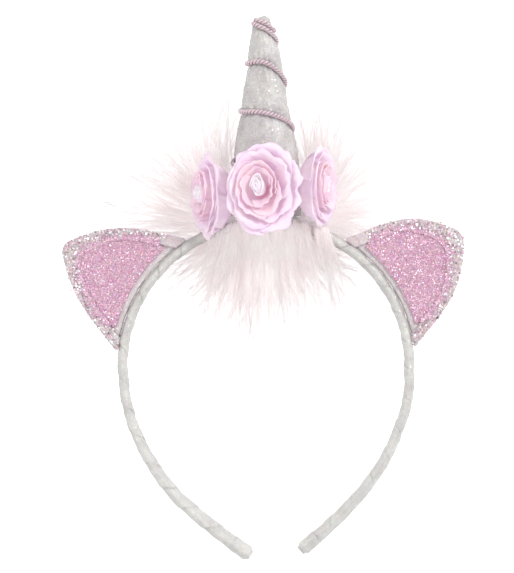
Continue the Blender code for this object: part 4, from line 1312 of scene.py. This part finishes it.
def make_fluff(surface):
    for index, layer in enumerate(FLUFF_LAYERS):
        chance = np.random.default_rng(60 + index)
        way, count = layer_wisps(layer, chance)
        line, s, wisp = barbs(way, count, BARBS_PER_WISP, WISP_RADIUS, chance)
        nodes = ["marabou_fluff"] if index == 0 else ()
        down_piece(f"down_{layer.name}", line, s, wisp, chance, surface, nodes)
    chance = np.random.default_rng(70)
    way, count = front_wisps(chance)
    line, s, wisp = barbs(way, count, BARBS_PER_WISP + 10, WISP_RADIUS * 0.9, chance)
    down_piece("down_front", line, s, wisp, chance, surface)
    make_core(surface)


# Floor, light and camera
VIEW_DISTANCE = 1.5
VIEW_MIDDLE = np.array([-4.3, 38.2, 0.0]) * MM
VIEW_HEIGHT = 275.0 * MM
SENSOR = 36.0
FLOOR_REACH = 3.0
FLOOR_GLOW = 0.45
WORLD_STRENGTH = 0.51


def make_floor():
    surface = Surface("pale_floor", 0.9)
    surface.colour(surface.ramp(surface.noise(0.4), (0.3, (0.93, 0.93, 0.93)),
                                (0.7, (0.95, 0.95, 0.95))))
    surface.shader.inputs["Emission Color"].default_value = (1, 1, 1, 1)
    surface.shader.inputs["Emission Strength"].default_value = FLOOR_GLOW
    corners = FLOOR_REACH * np.array([[-1, -1, 0], [1, -1, 0], [1, 1, 0], [-1, 1, 0]])
    mesh = bpy.data.meshes.new("floor")
    mesh.from_pydata(corners.tolist(), [], [(0, 1, 2, 3)])
    mesh.materials.append(surface.material)
    placed("floor", mesh)


Light = namedtuple("Light", "name place size power")
LIGHTS = (
    Light("key", (0.85, 0.65, 1.10), 0.35, 12.4),
    Light("fill", (-0.9, -0.3, 1.1), 0.9, 6.6),
    Light("front", (0.10, -0.55, 1.4), 0.30, 2.4),
)


def make_lights():
    world = bpy.data.worlds.new("studio")
    bpy.context.scene.world = world
    world.use_nodes = True
    back = world.node_tree.nodes["Background"]
    back.inputs["Color"].default_value = (1.0, 0.995, 0.99, 1)
    back.inputs["Strength"].default_value = WORLD_STRENGTH
    for light in LIGHTS:
        data = bpy.data.lights.new(light.name, "AREA")
        data.size = light.size
        data.energy = light.power
        lamp = placed(light.name, data)
        lamp.location = light.place
        lamp.rotation_mode = "QUATERNION"
        lamp.rotation_quaternion = (-Vector(light.place)).to_track_quat("-Z", "Y")


def make_camera():
    """Straight down the ring's axis, as the photo looks at it."""
    data = bpy.data.cameras.new("camera")
    data.sensor_width = SENSOR
    data.lens = SENSOR * VIEW_DISTANCE / VIEW_HEIGHT
    data.clip_start, data.clip_end = 0.05, 10
    camera = placed("camera", data)
    target = to_world(VIEW_MIDDLE)
    camera.location = target + TURN[:, 2] * VIEW_DISTANCE
    camera.rotation_euler = (RING_TILT, 0, 0)
    bpy.context.scene.camera = camera


def main():
    ribbon = glitter_cloth("ribbon_glitter", (0.67, 0.66, 0.63), (0.54, 0.52, 0.51),
                           0.34 * MM, 0.55, 0.38, 0.15, shaded_laps=True)
    horn = glitter_cloth("horn_glitter", (0.62, 0.60, 0.575), (0.48, 0.45, 0.455),
                         0.30 * MM, 0.45, 0.36, 0.12)
    panel = glitter_cloth("pink_glitter_cloth", (0.76, 0.42, 0.55), (0.68, 0.36, 0.49),
                          0.40 * MM, 0.6, 0.35, 0.2)
    bed = glitter_cloth("silver_glitter_bed", (0.65, 0.56, 0.58), (0.54, 0.44, 0.47),
                        0.5 * MM, 0.40, 0.4, 0.12)
    fine = flake_surface("fine_glitter", 0.28, 0.35)
    coarse = flake_surface("coarse_glitter", 0.30, 0.30)
    satins = (satin("satin_outer_petals", (0.97, 0.868, 0.93), (0.96, 0.63, 0.76)),
              satin("satin_inner_petals", (0.97, 0.825, 0.88), (0.94, 0.50, 0.63)),
              # Painted highlight: the bud's satin is nearly white, paler than the petals'.
              satin("satin_rolled_bud", (0.995, 0.965, 0.98), (0.95, 0.68, 0.78)))
    make_camera()
    make_band(ribbon, fine)
    make_horn(horn, fine)
    make_cord(thread_surface())
    make_ears(felt_surface(), panel, bed, fine, coarse)
    for rose in ROSES:
        make_rose(rose, satins)
    make_fluff(down_surface())
    make_floor()
    make_lights()
    bpy.context.scene.view_settings.view_transform = "Standard"


main()
